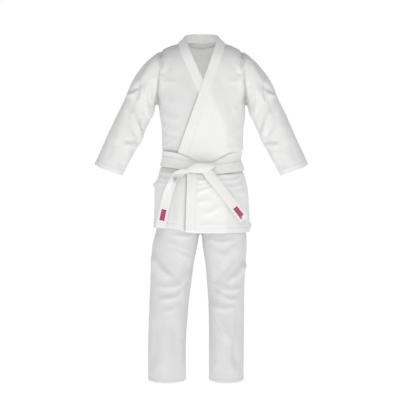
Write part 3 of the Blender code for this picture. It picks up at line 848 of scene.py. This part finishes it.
def collar_band(probe):
    """The band of both lapels and the collar, in one run from hem to hem."""
    heights = np.linspace(0.000, HEM_Z + 0.001, 190)
    lapels = []
    for edge_x, hem_z, side in ((inner_edge_x, right_hem_z, -1), (outer_edge_x, left_hem_z, 1)):
        free, sewn = lapel_edges(edge_x, heights, side)
        rows, outs = [], []
        for a, b in zip(free, sewn):
            row, out = [], []
            for x, z in band_columns(a, b):
                point, normal = probe(x, z)
                if point is None:
                    point, normal = np.array([x, -0.05, z]), np.array([0, -1, 0])
                row.append(point)
                out.append(normal)
            rows.append(row)
            outs.append(out)
        rows, outs = np.array(rows), unit(np.array(outs))
        if side > 0:
            rows = rows + outs * outer_lift(rows.reshape(-1, 3)).reshape(len(rows), -1)[..., None]
        # it stands off a little near the neck, and ends with the front's hem
        rows = rows + outs * (0.0032 * smoothstep(-0.075, -0.020, heights))[:, None, None]
        drop = hem_z(free[:, 0]) - HEM_Z
        rows[:, :, 2] += smoothstep(-0.60, HEM_Z, heights)[:, None] * drop[:, None]
        lapels.append(rows)
    upper, lower = collar_grid()
    collar = np.array([band_columns(a, b) for a, b in zip(upper, lower)])
    right, left = lapels
    joined = np.concatenate([right[::-1], collar, left], axis=0)
    rows, cols = joined.shape[:2]
    # the two joints are eased until the run is smooth there
    weight = np.zeros((rows, cols))
    for joint in (len(right), len(right) + len(collar)):
        gap = np.abs(np.arange(rows) - joint)
        weight += (0.5 * smoothstep(16, 2, gap))[:, None]
    smooth = relax(joined.reshape(-1, 3), run_pairs(rows, cols), 60,
                   np.clip(weight, 0, 0.5).ravel())
    return slab("collar_band", smooth.reshape(rows, cols, 3), BAND, lift=0.0002)


# ---------------------------------------------------------------- materials

STITCH_IN = 0.0018          # from a hem's fold to its line of stitches
STITCH_PITCH = 0.0036


class Look:
    """A material, with short ways to add nodes to it."""

    def __init__(self, name, roughness):
        self.material = bpy.data.materials.new(name)
        self.material.use_nodes = True
        self.tree = self.material.node_tree
        self.shader = self.tree.nodes["Principled BSDF"].inputs
        self.put(roughness, self.shader["Roughness"])

    def put(self, value, socket):
        if isinstance(value, bpy.types.NodeSocket):
            self.tree.links.new(value, socket)
        else:
            socket.default_value = value

    def add(self, kind, values, **settings):
        """The outputs of a new node. Values go into its inputs, by name or number."""
        node = self.tree.nodes.new("ShaderNode" + kind)
        for key, setting in settings.items():
            setattr(node, key, setting)
        for key, value in values.items():
            self.put(value, node.inputs[key])
        return node.outputs

    def maths(self, operation, *values):
        return self.add("Math", dict(enumerate(values)), operation=operation)[0]

    def ramp(self, value, low, high, start=0.0, end=1.0):
        return self.add("MapRange", {"Value": value, "From Min": low, "From Max": high,
                                     "To Min": start, "To Max": end})["Result"]

    def read(self, key, output="Fac"):
        return self.add("Attribute", {}, attribute_name=key)[output]

    def mix(self, share, first, second):
        return self.add("Mix", {"A": (*first, 1), "B": (*second, 1), "Factor": share},
                        data_type="RGBA")["Result"]


def cotton(name, colour, roughness, thread, rows=0.0):
    """Woven cotton: weave, faint unevenness, hems and stitched lines. Thread is the length
    of one wave of the weave, and rows the gap between rows of stitches along a band."""
    look = Look(name, roughness)
    maths, ramp, read = look.maths, look.ramp, look.read
    look.put(0.25, look.shader["Sheen Weight"])
    look.put(0.5, look.shader["Sheen Roughness"])
    look.put(0.15, look.shader["Specular IOR Level"])
    rest = read("rest", "Vector")

    def mottle(scale, detail):
        return look.add("TexNoise", {"Scale": scale, "Detail": detail, "Vector": rest})["Fac"]

    x, y, z = look.add("SeparateXYZ", {"Vector": rest})
    turn = 2 * math.pi / thread
    warp = maths("SINE", maths("MULTIPLY", maths("ADD", x, y), turn))
    weft = maths("SINE", maths("MULTIPLY", z, turn))
    weave = maths("ADD", maths("MULTIPLY", maths("MULTIPLY", warp, weft), 0.035),
                  maths("MULTIPLY", mottle(700.0, 3.0), 0.12))
    # a dashed line of stitches inside each hem and along each sewn line
    dash = ramp(maths("SINE", maths("MULTIPLY", read("run"), 2 * math.pi / STITCH_PITCH)),
                -0.4, 0.2)
    hem = read("hem")
    step = ramp(hem, -0.0006, 0.0006)
    nearest = maths("MINIMUM", maths("ABSOLUTE", maths("SUBTRACT", hem, STITCH_IN)),
                    maths("ABSOLUTE", read("line")))
    if rows:
        place = maths("MULTIPLY", read("across"), 1 / rows)
        from_row = maths("ABSOLUTE", maths("SUBTRACT", place, maths("ROUND", place)))
        nearest = maths("MINIMUM", nearest, maths("MULTIPLY", from_row, rows))
    groove = ramp(nearest, 0.0003, 0.0013, 1.0, 0.0)
    if rows:
        groove = maths("MULTIPLY", groove, 0.25)
    thread_mark = maths("MULTIPLY", ramp(nearest, 0.0002, 0.0005, 1.0, 0.0), dash)
    height = maths("ADD", weave, maths("MULTIPLY", step, 0.8))
    height = maths("SUBTRACT", height, maths("MULTIPLY", groove, 0.45))
    height = maths("ADD", height, maths("MULTIPLY", thread_mark, 0.35))
    bump = look.add("Bump", {"Strength": 0.6, "Distance": 0.001, "Height": height})
    look.put(bump["Normal"], look.shader["Normal"])
    uneven = look.mix(mottle(9.0, 4.0), [c * 0.955 for c in colour],
                      [min(c * 1.03, 1) for c in colour])
    # The base colour is scaled by the tone attribute, which holds painted shade, and darkened in
    # the stitch grooves as painted shade.
    tone_and_painted_shade = maths("MULTIPLY", read("tone_and_painted_shade"), maths("SUBTRACT", 1.0, maths("MULTIPLY", groove, 0.10)))
    shade = look.add("VectorMath", {0: uneven, "Scale": tone_and_painted_shade}, operation="SCALE")
    look.put(shade["Vector"], look.shader["Base Color"])
    return look.material


def woven_label(name, ground, mark, pitch):
    """Smooth woven ribbon with plain darker or lighter bars across it."""
    look = Look(name, 0.6)
    wave = look.maths("SINE", look.maths("MULTIPLY", look.read("run"), 2 * math.pi / pitch))
    look.put(look.mix(look.ramp(wave, 0.55, 0.65), ground, mark), look.shader["Base Color"])
    return look.material


# The tone attribute scales the base colour; it holds painted shade and shadow as well as plain
# differences in tone.
DEFAULTS = {"tone_and_painted_shade": 1.0, "hem": -1.0, "line": 1.0, "run": 0.0, "across": 1.0}


def dress(item, material):
    """Material, and plain values for the attributes that the piece leaves out."""
    for key, value in DEFAULTS.items():
        if key not in item.data.attributes:
            add_values(item.data, key, np.full(len(item.data.vertices), value))
    item.data.materials.clear()
    item.data.materials.append(material)


# ---------------------------------------------------------------- build

canvas = cotton("jacket_canvas", (0.845, 0.845, 0.84), roughness=0.88, thread=0.0018)
banding = cotton("jacket_band", (0.84, 0.84, 0.835), roughness=0.88, thread=0.0018, rows=0.0088)
twill = cotton("trouser_cotton", (0.725, 0.725, 0.725), roughness=0.90, thread=0.0014)
webbing = cotton("belt_cotton", (0.825, 0.825, 0.82), roughness=0.82, thread=0.0012, rows=0.0044)

form = jacket_form()


def outside_neck(p):
    """Positive outside the neck hole, seen from above, near the shoulders."""
    r = np.sqrt((p[:, 0] / 0.084)**2 + ((p[:, 1] - 0.004) / 0.070)**2)
    return np.where(p[:, 2] > -0.05, (r - 1.0) * 0.07, 1.0)


def skirt_folds(cloth, edge_x):
    """Folds below the belt, none where the lapel lies on the cloth."""
    side = 1 if edge_x is outer_edge_x else -1
    free = side * (cloth.rest[:, 0] - edge_x(cloth.rest[:, 2])) - BAND_WIDTH
    loose = (1 - under_belt(cloth.rest)) * smoothstep(0.000, 0.010, free)
    return 1.25 * loose * folds(cloth.rest, cloth.normal, SKIRT_FOLDS, "front")


def painted_shoulder_shade(p):
    """Painted shade on the top of the shoulders, which turn away from the light."""
    return 1.0 - 0.095 * smoothstep(-0.110, -0.020, p[:, 2])


def painted_armhole_shade(p):
    """Painted shade along the armhole seam, deepest at the armpit."""
    from_seam = np.abs(np.abs(p[:, 0]) - armhole_x(p[:, 2]))
    low = smoothstep(-0.090, -0.200, p[:, 2]) * smoothstep(-0.255, -0.235, p[:, 2])
    return 1.0 - 0.22 * low * np.exp(-(from_seam / 0.0055)**2)


def edge_shadow(p):
    """Cloth just outside the free edge that lies over it."""
    gap = np.maximum(outer_edge_x(p[:, 2]) - p[:, 0], 0.0)
    shown = smoothstep(-0.150, -0.200, p[:, 2]) * (0.45 + 0.55 * smoothstep(-0.49, -0.53, p[:, 2]))
    return 1.0 - 0.42 * shown * np.exp(-(gap / 0.0060)**2)


def below_belt(p):
    return smoothstep(-0.50, -0.56, p[:, 2])


def vent_tip(cloth, side, height, reach):
    """A corner of a side vent that stands out a little."""
    edge = smoothstep(0.040, 0.006, -cloth.rest[:, 1]) * (side * cloth.rest[:, 0] > 0)
    return reach * edge * np.exp(-((cloth.rest[:, 2] - height) / 0.010)**2)


torso = form.trimmed(lambda p: armhole_x(p[:, 2]) - np.abs(p[:, 0]))
front = torso.trimmed(lambda p: -p[:, 1]).trimmed(outside_neck)
front_outer = front.trimmed(lambda p: p[:, 0] - outer_edge_x(p[:, 2]) - 0.002)
front_outer = front_outer.trimmed(lambda p: p[:, 2] - left_hem_z(p[:, 0]))
front_outer = front_outer.moved(outer_lift(front_outer.rest)
                                + skirt_folds(front_outer, outer_edge_x))
front_inner = front.trimmed(lambda p: inner_edge_x(p[:, 2]) - 0.002 - p[:, 0])
front_inner = front_inner.trimmed(lambda p: p[:, 2] - right_hem_z(p[:, 0]))
shown = smoothstep(-0.045, -0.070, front_inner.rest[:, 0])
front_inner = front_inner.moved(shown * skirt_folds(front_inner, inner_edge_x))
back = torso.trimmed(lambda p: p[:, 1]).trimmed(outside_neck)
back = back.trimmed(lambda p: p[:, 2] - back_hem_z(p[:, 0]))
front_outer = front_outer.moved(vent_tip(front_outer, side=1, height=-0.732, reach=0.009))
front_inner = front_inner.moved(vent_tip(front_inner, side=-1, height=-0.567, reach=0.011))

p = front_outer.rest
doubled = smoothstep(0.014, -0.004, p[:, 0] - inner_edge_x(p[:, 2]))
# Tone: painted shade on the shoulder tops and along the armhole; lighter where the outer front lies
# doubled over the inner one, and below the belt.
left_front = solid("left_front", front_outer, {
    "tone_and_painted_shade": (0.93 + 0.07 * doubled + 0.04 * below_belt(p)) * painted_shoulder_shade(p) * painted_armhole_shade(p),
    "hem": HEM_FOLD - (p[:, 2] - left_hem_z(p[:, 0]))})
p = front_inner.rest
# Tone: the whole inner front is painted darker than the outer front, as shade, with painted shade
# on the shoulder tops and along the armhole and a painted shadow beside the outer front's free
# edge; lighter below the belt.
right_front = solid("right_front", front_inner, {
    "tone_and_painted_shade": (0.880 + 0.085 * below_belt(p)) * painted_shoulder_shade(p) * painted_armhole_shade(p) * edge_shadow(p),
    "hem": HEM_FOLD - (p[:, 2] - right_hem_z(p[:, 0]))})
p = back.rest
# Tone: painted shade on the shoulder tops, and a painted shade line along the neck edge under the
# collar.
back_piece = solid("jacket_back", back, {
    "tone_and_painted_shade": 0.97 * painted_shoulder_shade(p)
            * (1 - 0.30 * np.exp(-((outside_neck(p) - 0.008) / 0.004)**2)),
    "hem": HEM_FOLD - (p[:, 2] - back_hem_z(p[:, 0])),
    "line": p[:, 0]})
for item in (left_front, right_front, back_piece):
    dress(item, canvas)
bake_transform(left_front)
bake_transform(right_front)
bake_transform(back_piece)
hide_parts("left_front_panel", "left_front_skirt", "left_front_skirt_hem")
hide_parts("right_front_panel", "right_front_skirt", "right_front_skirt_hem")
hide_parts("left_back_panel", "right_back_panel", "back_skirt", "back_skirt_hem",
            "shoulder_lining", "left_vent_patch", "right_vent_patch")


def cuff_side(p):
    """Positive above the cuff's end: two straight cuts, the outer one steeper."""
    across = (np.abs(p[:, 0]) - 0.3733) * 0.330 - (p[:, 2] + 0.5115) * 0.944
    corner = (np.abs(p[:, 0]) - 0.4243) * 0.597 - (p[:, 2] + 0.4900) * 0.802
    return -np.maximum(across, corner)


for side, word in ((1, "left"), (-1, "right")):
    sleeve = form.trimmed(lambda p: np.abs(p[:, 0]) - armhole_x(p[:, 2]))
    sleeve = sleeve.trimmed(lambda p: side * p[:, 0])
    sleeve = sleeve.trimmed(cuff_side)
    from_cuff = cuff_side(sleeve.rest)
    from_seam = np.abs(sleeve.rest[:, 0]) - armhole_x(sleeve.rest[:, 2])
    # Tone: painted shade on the shoulder tops, along the armhole seam and at the armpit; a little
    # lighter near the cuff.
    item = solid(word + "_sleeve_cloth", sleeve, {
        "tone_and_painted_shade": (0.93 + 0.03 * smoothstep(0.024, 0.020, from_cuff)) * painted_shoulder_shade(sleeve.rest)
                * (1 - 0.06 * np.exp(-(from_seam / 0.006)**2)) * painted_armhole_shade(sleeve.rest),
        "hem": HEM_FOLD - from_cuff, "line": from_seam - 0.006})
    dress(item, canvas)
    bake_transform(item)
    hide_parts(word + "_sleeve", word + "_cuff_hem", word + "_sleeve_head")

band = collar_band(surface_probe(form))
add_values(band.data, "tone_and_painted_shade", 1 + 0.035 * below_belt(vertices(band.data)))
dress(band, banding)
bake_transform(band)
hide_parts("back_collar", "left_lapel", "right_lapel", "left_skirt_lapel",
            "right_skirt_lapel")


# ---------------------------------------------------------------- trousers

def trouser_form():
    item = one_form("trouser_form", [body_rings(SEAT, SEAT_POWER), leg_rings(LEFT_LEG),
                                     leg_rings(RIGHT_LEG)], TROUSER_GRID)
    pairs = edges(item.data)
    place = relax(vertices(item.data), pairs, 5)
    near = smoothstep(-0.66, -0.72, place[:, 2]) * smoothstep(-0.86, -0.80, place[:, 2])
    place = relax(place, pairs, 12, 0.5 * near)
    n, faces = shaped_form(item, place)
    amount = 1.60 * folds(place, n, TROUSER_FOLDS, "front")
    amount += folds(place, n, TROUSER_BACK_FOLDS, "back")
    amount += 0.0016 * noise(place, (0.070, 0.070, 0.110), 5)
    amount += 0.0006 * noise(place, (0.028, 0.028, 0.040), 9)
    # gathers under the waistband
    angle = np.arctan2(place[:, 1], place[:, 0])
    wave = np.sin(angle * 34 + 2.2 * np.sin(angle * 5)) + 0.5 * np.sin(angle * 57 + 1.0)
    fade = smoothstep(-0.600, -0.500, place[:, 2])
    amount += (0.0020 * wave - 0.0020) * fade
    return Cloth(place + n * amount[:, None], place, n, faces)


def leg_hem_z(p):
    """The trouser legs end a little lower in front than behind."""
    return -1.3560 + 0.20 * p[:, 1]


trousers = trouser_form()
trousers = trousers.trimmed(lambda p: WAISTBAND_END - 0.0004 - p[:, 2])
trousers = trousers.trimmed(lambda p: p[:, 2] - leg_hem_z(p))
for side, word in ((1, "left"), (-1, "right")):
    half = trousers.trimmed(lambda p: side * (p[:, 0] + 0.0025))
    p = half.rest
    item = solid(word + "_trouser_half", half, {
        "hem": TROUSER_FOLD - (p[:, 2] - leg_hem_z(p)),
        "line": p[:, 1], "tone_and_painted_shade": 1.0 - 0.025 * smoothstep(-0.90, -1.05, p[:, 2])})
    dress(item, twill)
    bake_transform(item)
    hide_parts(f"trousers_{word}_seat", word + "_leg", word + "_leg_hem")


def waist_ring(name, top, bottom, inset, thickness, ribs, height):
    """A gathered ring round the trousers' waist, inset from their outside."""
    outline = oval(SEAT_POWER, 300)
    angles = np.linspace(0, 2 * math.pi, len(outline), endpoint=False)
    ripple = height * (np.sin(angles * ribs + 1.4 * np.sin(angles * 5))
                       + 0.4 * np.sin(angles * (ribs * 1.7 // 1) + 1.0))
    rows = []
    for t in COLUMNS[::2]:
        z = top + (bottom - top) * t
        half, fore, aft = spline(-SEAT[:, 0], SEAT[:, 1:], [-z])[0] - inset
        x = half * outline[:, 0]
        y = np.where(outline[:, 1] < 0, fore, aft) * outline[:, 1]
        out = unit(np.stack([x / half**2, y / fore**2], axis=1))
        amount = ripple * (0.55 + 0.45 * math.cos(2 * math.pi * t))
        rows.append(np.stack([x + out[:, 0] * amount, y + out[:, 1] * amount,
                              np.full(len(x), z)], axis=1))
    return slab(name, np.array(rows).transpose(1, 0, 2), thickness, closed=True)


waistband = waist_ring("waistband_cloth", WAIST_TOP, WAISTBAND_END, inset=0.0012,
                       thickness=0.0030, ribs=52, height=0.0011)
elastic = waist_ring("waistband_elastic_band", WAIST_TOP - 0.006, WAISTBAND_END + 0.006,
                     inset=0.0062, thickness=0.0014, ribs=118, height=0.0004)
dress(waistband, twill)
dress(elastic, webbing)
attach(waistband, "trousers")
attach(elastic, "trousers")
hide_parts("waistband")
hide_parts("waistband_elastic")


def gusset_piece():
    """The narrow strip sewn between the legs, on the inside of the crotch."""
    tree = BVHTree.FromPolygons(trousers.place.tolist(), trousers.faces)
    columns = np.linspace(-0.012, 0.007, 9)
    rows, outs = [], []
    for angle in np.linspace(-1.0, 1.0, 60):
        ray = np.array(Vector((0, math.sin(angle), -math.cos(angle))))
        hits = [tree.ray_cast(Vector((x, 0, -0.690)), Vector(ray))[0] for x in columns]
        rows.append([np.array(hit) - ray * 0.0030 for hit in hits])
        outs.append([-ray] * len(columns))
    rows = np.array(rows)
    pairs = run_pairs(*rows.shape[:2])
    rows = relax(rows.reshape(-1, 3), pairs, 12).reshape(rows.shape)
    return slab("crotch_gusset_cloth", rows, 0.0012, normal=np.array(outs))


gusset = gusset_piece()
dress(gusset, twill)
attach(gusset, "trousers")
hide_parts("crotch_gusset")


# ---------------------------------------------------------------- belt

def belt_turn(name, line, lift, seed):
    """One closed turn of the belt round the waist."""
    outline = oval(TORSO_POWER, 280)
    angles = np.linspace(0, 2 * math.pi, len(outline), endpoint=False)
    s = np.sin(angles)
    rows = []
    for t in COLUMNS:
        # the jacket's width depends on the height and the height on the width
        half, fore, aft = 0.160, 0.104, 0.100
        for _ in range(3):
            x = half * outline[:, 0]
            y = np.where(s < 0, fore, aft) * outline[:, 1]
            z = (turn_top_z(line, x, y) - BAND_WIDTH * (1 - t)
                 + 0.0010 * np.sin(2 * angles + seed) + 0.0007 * np.sin(7 * angles + 2 * seed))
            half, fore, aft = spline(-TORSO[:, 0], TORSO[:, 1:], -z).T
        out = unit(np.stack([x / half**2, y / np.where(s < 0, fore, aft)**2], axis=1))
        front = smoothstep(0.10, 0.70, -s)
        # in front it passes over the lapels and the folds of the other turn
        stack = front * (0.0060 * smoothstep(0.150, 0.095, x) + 0.0040
                         + 0.0030 * np.exp(-((x + 0.078) / 0.045)**2))
        pinch = 0.0007 * np.sin(11 * angles + seed) * (1 - abs(2 * t - 1))
        away = lift + stack + pinch - 0.0010 * t
        rows.append(np.stack([x + out[:, 0] * away, y + out[:, 1] * away, z], axis=1))
    return slab(name, np.array(rows).transpose(1, 0, 2), BELT, closed=True)


def ribbon(name, path, widths, rolls, curls, thickness=BELT, part=(0.0, 1.0),
           reach=(-1.0, 1.0), lift=0.0):
    """A flat strip along a path, facing forwards. Rolls turn it about its run and curls bend
    it across. Part is the share of the run that is made, and reach the share of the width."""
    count = 90
    rows = resample(np.hstack([path, np.c_[widths, rolls, curls]]), count)
    points = rows[:, :3]
    along = unit(np.gradient(points, axis=0))
    facing = np.array([0.0, -1.0, 0.0])
    grid, outs = [], []
    for point, tangent, (width, roll, curl) in zip(points, along, rows[:, 3:]):
        level = np.cross(tangent, facing)
        level = level / np.linalg.norm(level)
        out = np.cross(level, tangent)
        across = level * math.cos(roll) + out * math.sin(roll)
        out = out * math.cos(roll) - level * math.sin(roll)
        t = reach[0] + (reach[1] - reach[0]) * COLUMNS
        bend = curl * t
        bend = np.where(np.abs(bend) < 1e-4, 1e-4, bend)
        curled = abs(curl) > 1e-3
        side = np.sin(bend) / curl if curled else t
        drop = (1 - np.cos(bend)) / curl if curled else 0 * t
        grid.append(point + (side * width / 2)[:, None] * across
                    - (drop * width / 2)[:, None] * out)
        outs.append(np.cos(bend)[:, None] * out + np.sin(bend)[:, None] * across)
    first, last = int(part[0] * (count - 1)), int(part[1] * (count - 1)) + 1
    grid, outs = np.array(grid)[first:last], unit(np.array(outs)[first:last])
    return slab(name, grid, thickness, lift=lift - thickness / 2, normal=outs)


upper_turn = belt_turn("belt_upper_turn", UPPER_LINE, lift=0.0007, seed=0.4)
lower_turn = belt_turn("belt_lower_turn", LOWER_LINE, lift=0.0045, seed=1.9)
knot = ribbon(
    "belt_knot_wrap", thickness=0.0050,
    path=[(-0.067, -0.124, -0.5095), (-0.059, -0.133, -0.5085), (-0.046, -0.143, -0.5045),
          (-0.026, -0.1495, -0.5000), (-0.004, -0.1520, -0.4985), (0.016, -0.1515, -0.4965),
          (0.033, -0.1480, -0.4920), (0.047, -0.1400, -0.4880), (0.056, -0.1280, -0.4870)],
    widths=[0.011, 0.015, 0.025, 0.039, 0.041, 0.038, 0.029, 0.020, 0.014],
    rolls=[0.0, 0.0, 0.0, 0.0, 0.0, 0.05, 0.10, 0.15, 0.2],
    curls=[0.5, 0.5, 0.45, 0.40, 0.40, 0.45, 0.5, 0.6, 0.6])
LEFT_END = dict(
    path=[(0.003, -0.1360, -0.4880), (0.014, -0.1420, -0.5015), (0.031, -0.1450, -0.523),
          (0.058, -0.1450, -0.558), (0.090, -0.1440, -0.599), (0.130, -0.1430, -0.651),
          (0.172, -0.1425, -0.7055)],
    widths=[0.026, 0.036, 0.042, 0.041, 0.040, 0.040, 0.040],
    rolls=[0.10, 0.12, 0.12, 0.06, 0.02, 0.0, 0.0],
    curls=[0.5, 0.5, 0.40, 0.22, 0.12, 0.10, 0.10])
RIGHT_END = dict(
    path=[(-0.046, -0.1330, -0.5090), (-0.062, -0.1360, -0.5120), (-0.080, -0.1390, -0.5170),
          (-0.096, -0.1440, -0.5240), (-0.110, -0.1500, -0.5350), (-0.1180, -0.1530, -0.5500),
          (-0.1250, -0.1510, -0.5700), (-0.1345, -0.1475, -0.5980), (-0.146, -0.1440, -0.6450),
          (-0.156, -0.1430, -0.6900), (-0.1655, -0.1420, -0.7390)],
    widths=[0.014, 0.018, 0.026, 0.040, 0.050, 0.050, 0.044, 0.040, 0.040, 0.040, 0.040],
    rolls=[0.0, 0.0, 0.1, 0.10, 0.05, 0.10, 0.15, 0.10, 0.05, 0.0, 0.0],
    curls=[0.3, 0.2, -0.5, -1.2, -1.8, -1.8, -1.2, -0.5, 0.0, 0.05, 0.10])
left_end = ribbon("belt_left_end", **LEFT_END)
right_end = ribbon("belt_right_end", **RIGHT_END)
# little light gets into the curl where this end turns down
where = vertices(right_end.data)
inside = np.linalg.norm((where[:, [0, 2]] - np.array([-0.107, -0.543])) / [0.008, 0.012], axis=1)
add_values(right_end.data, "tone_and_painted_shade", 1 - 0.45 * np.exp(-inside**2))
for item in (upper_turn, lower_turn, knot, left_end, right_end):
    dress(item, webbing)
for item in (upper_turn, lower_turn, knot):
    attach(item, "jacket")
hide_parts("belt_upper_wrap")
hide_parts("belt_lower_wrap")
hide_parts("belt_knot")
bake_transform(left_end)
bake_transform(right_end)
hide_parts("left_belt_end")
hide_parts("right_belt_end")

crimson = woven_label("label_red", (0.50, 0.060, 0.150), (0.24, 0.016, 0.050), 0.0100)
grey = woven_label("tag_grey", (0.30, 0.30, 0.32), (0.42, 0.42, 0.44), 0.0020)
ON_BELT = dict(thickness=0.0008, lift=BELT / 2 + 0.0004)
left_label = ribbon("left_label", **LEFT_END, **ON_BELT, part=(0.79, 0.945), reach=(-0.5, 0.5))
right_label = ribbon("right_label", **RIGHT_END, **ON_BELT, part=(0.750, 0.900),
                     reach=(-0.5, 0.5))
tab = ribbon("size_tab", **LEFT_END, **ON_BELT, part=(0.955, 0.985), reach=(0.05, 0.6))
for item, look, slot, body, node in (
        (left_label, crimson, "label_red", "left_belt_end", "left_belt_label"),
        (right_label, crimson, "label_red", "right_belt_end", "right_belt_label"),
        (tab, grey, "tag_grey", "left_belt_end", "belt_size_tab")):
    dress(item, look)
    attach(item, body)
    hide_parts(node)


# ---------------------------------------------------------------- camera, light, floor

def placed(name, data, place):
    item = bpy.data.objects.new(name, data)
    item.location = place
    bpy.context.scene.collection.objects.link(item)
    return item


def area_light(name, place, aim, size, power):
    data = bpy.data.lights.new(name, "AREA")
    data.shape = "RECTANGLE"
    data.size = data.size_y = size
    data.energy = power
    item = placed(name, data, place)
    item.rotation_euler = (Vector(aim) - Vector(place)).to_track_quat("-Z", "Y").to_euler()
    return item


# the camera sees plain white behind the uniform, and the cloth is lit by a weaker white
world = bpy.data.worlds.new("studio")
bpy.context.scene.world = world
world.use_nodes = True
nodes = world.node_tree.nodes
links = world.node_tree.links
ray = nodes.new("ShaderNodeLightPath")
either = nodes.new("ShaderNodeMixShader")
links.new(ray.outputs["Is Camera Ray"], either.inputs["Fac"])
for socket, source, strength in ((1, nodes["Background"], 0.455),
                                 (2, nodes.new("ShaderNodeBackground"), 1.0)):
    source.inputs["Color"].default_value = (1, 1, 1, 1)
    source.inputs["Strength"].default_value = strength
    links.new(source.outputs["Background"], either.inputs[socket])
links.new(either.outputs["Shader"], nodes["World Output"].inputs["Surface"])

area_light("front_panel", (0.10, -3.4, 0.05), aim=(0, 0, -0.55), size=1.6, power=27)
area_light("neck_panel", (0.0, -2.4, 1.7), aim=(0, 0.0, -0.05), size=0.8, power=3)
# a faint light inside the jacket, for the back that shows in the neck opening
inner = area_light("inner_fill", (0, -0.045, -0.300), aim=(0, 0.08, -0.02), size=0.10, power=0.25)
inner.visible_camera = False

floor_mesh = bpy.data.meshes.new("floor")
floor_mesh.from_pydata([(x, y, FLOOR_Z) for x, y in ((-9, -9), (9, -9), (9, 9), (-9, 9))], [],
                       [(0, 1, 2, 3)])
floor = placed("floor", floor_mesh, (0, 0, 0))
paper = Look("paper", 0.9)
paper.put((0.95, 0.95, 0.95, 1), paper.shader["Base Color"])
paper.put((1, 1, 1, 1), paper.shader["Emission Color"])
paper.put(0.75, paper.shader["Emission Strength"])
floor_mesh.materials.append(paper.material)

camera_data = bpy.data.cameras.new("camera")
camera_data.sensor_width = 36
camera_data.lens = 353.0
camera_data.clip_end = 100
camera = placed("camera", camera_data, (-0.006, -16.0, -0.628))
camera.rotation_euler = (math.radians(90), 0, 0)
bpy.context.scene.camera = camera
bpy.context.scene.view_settings.view_transform = "Standard"
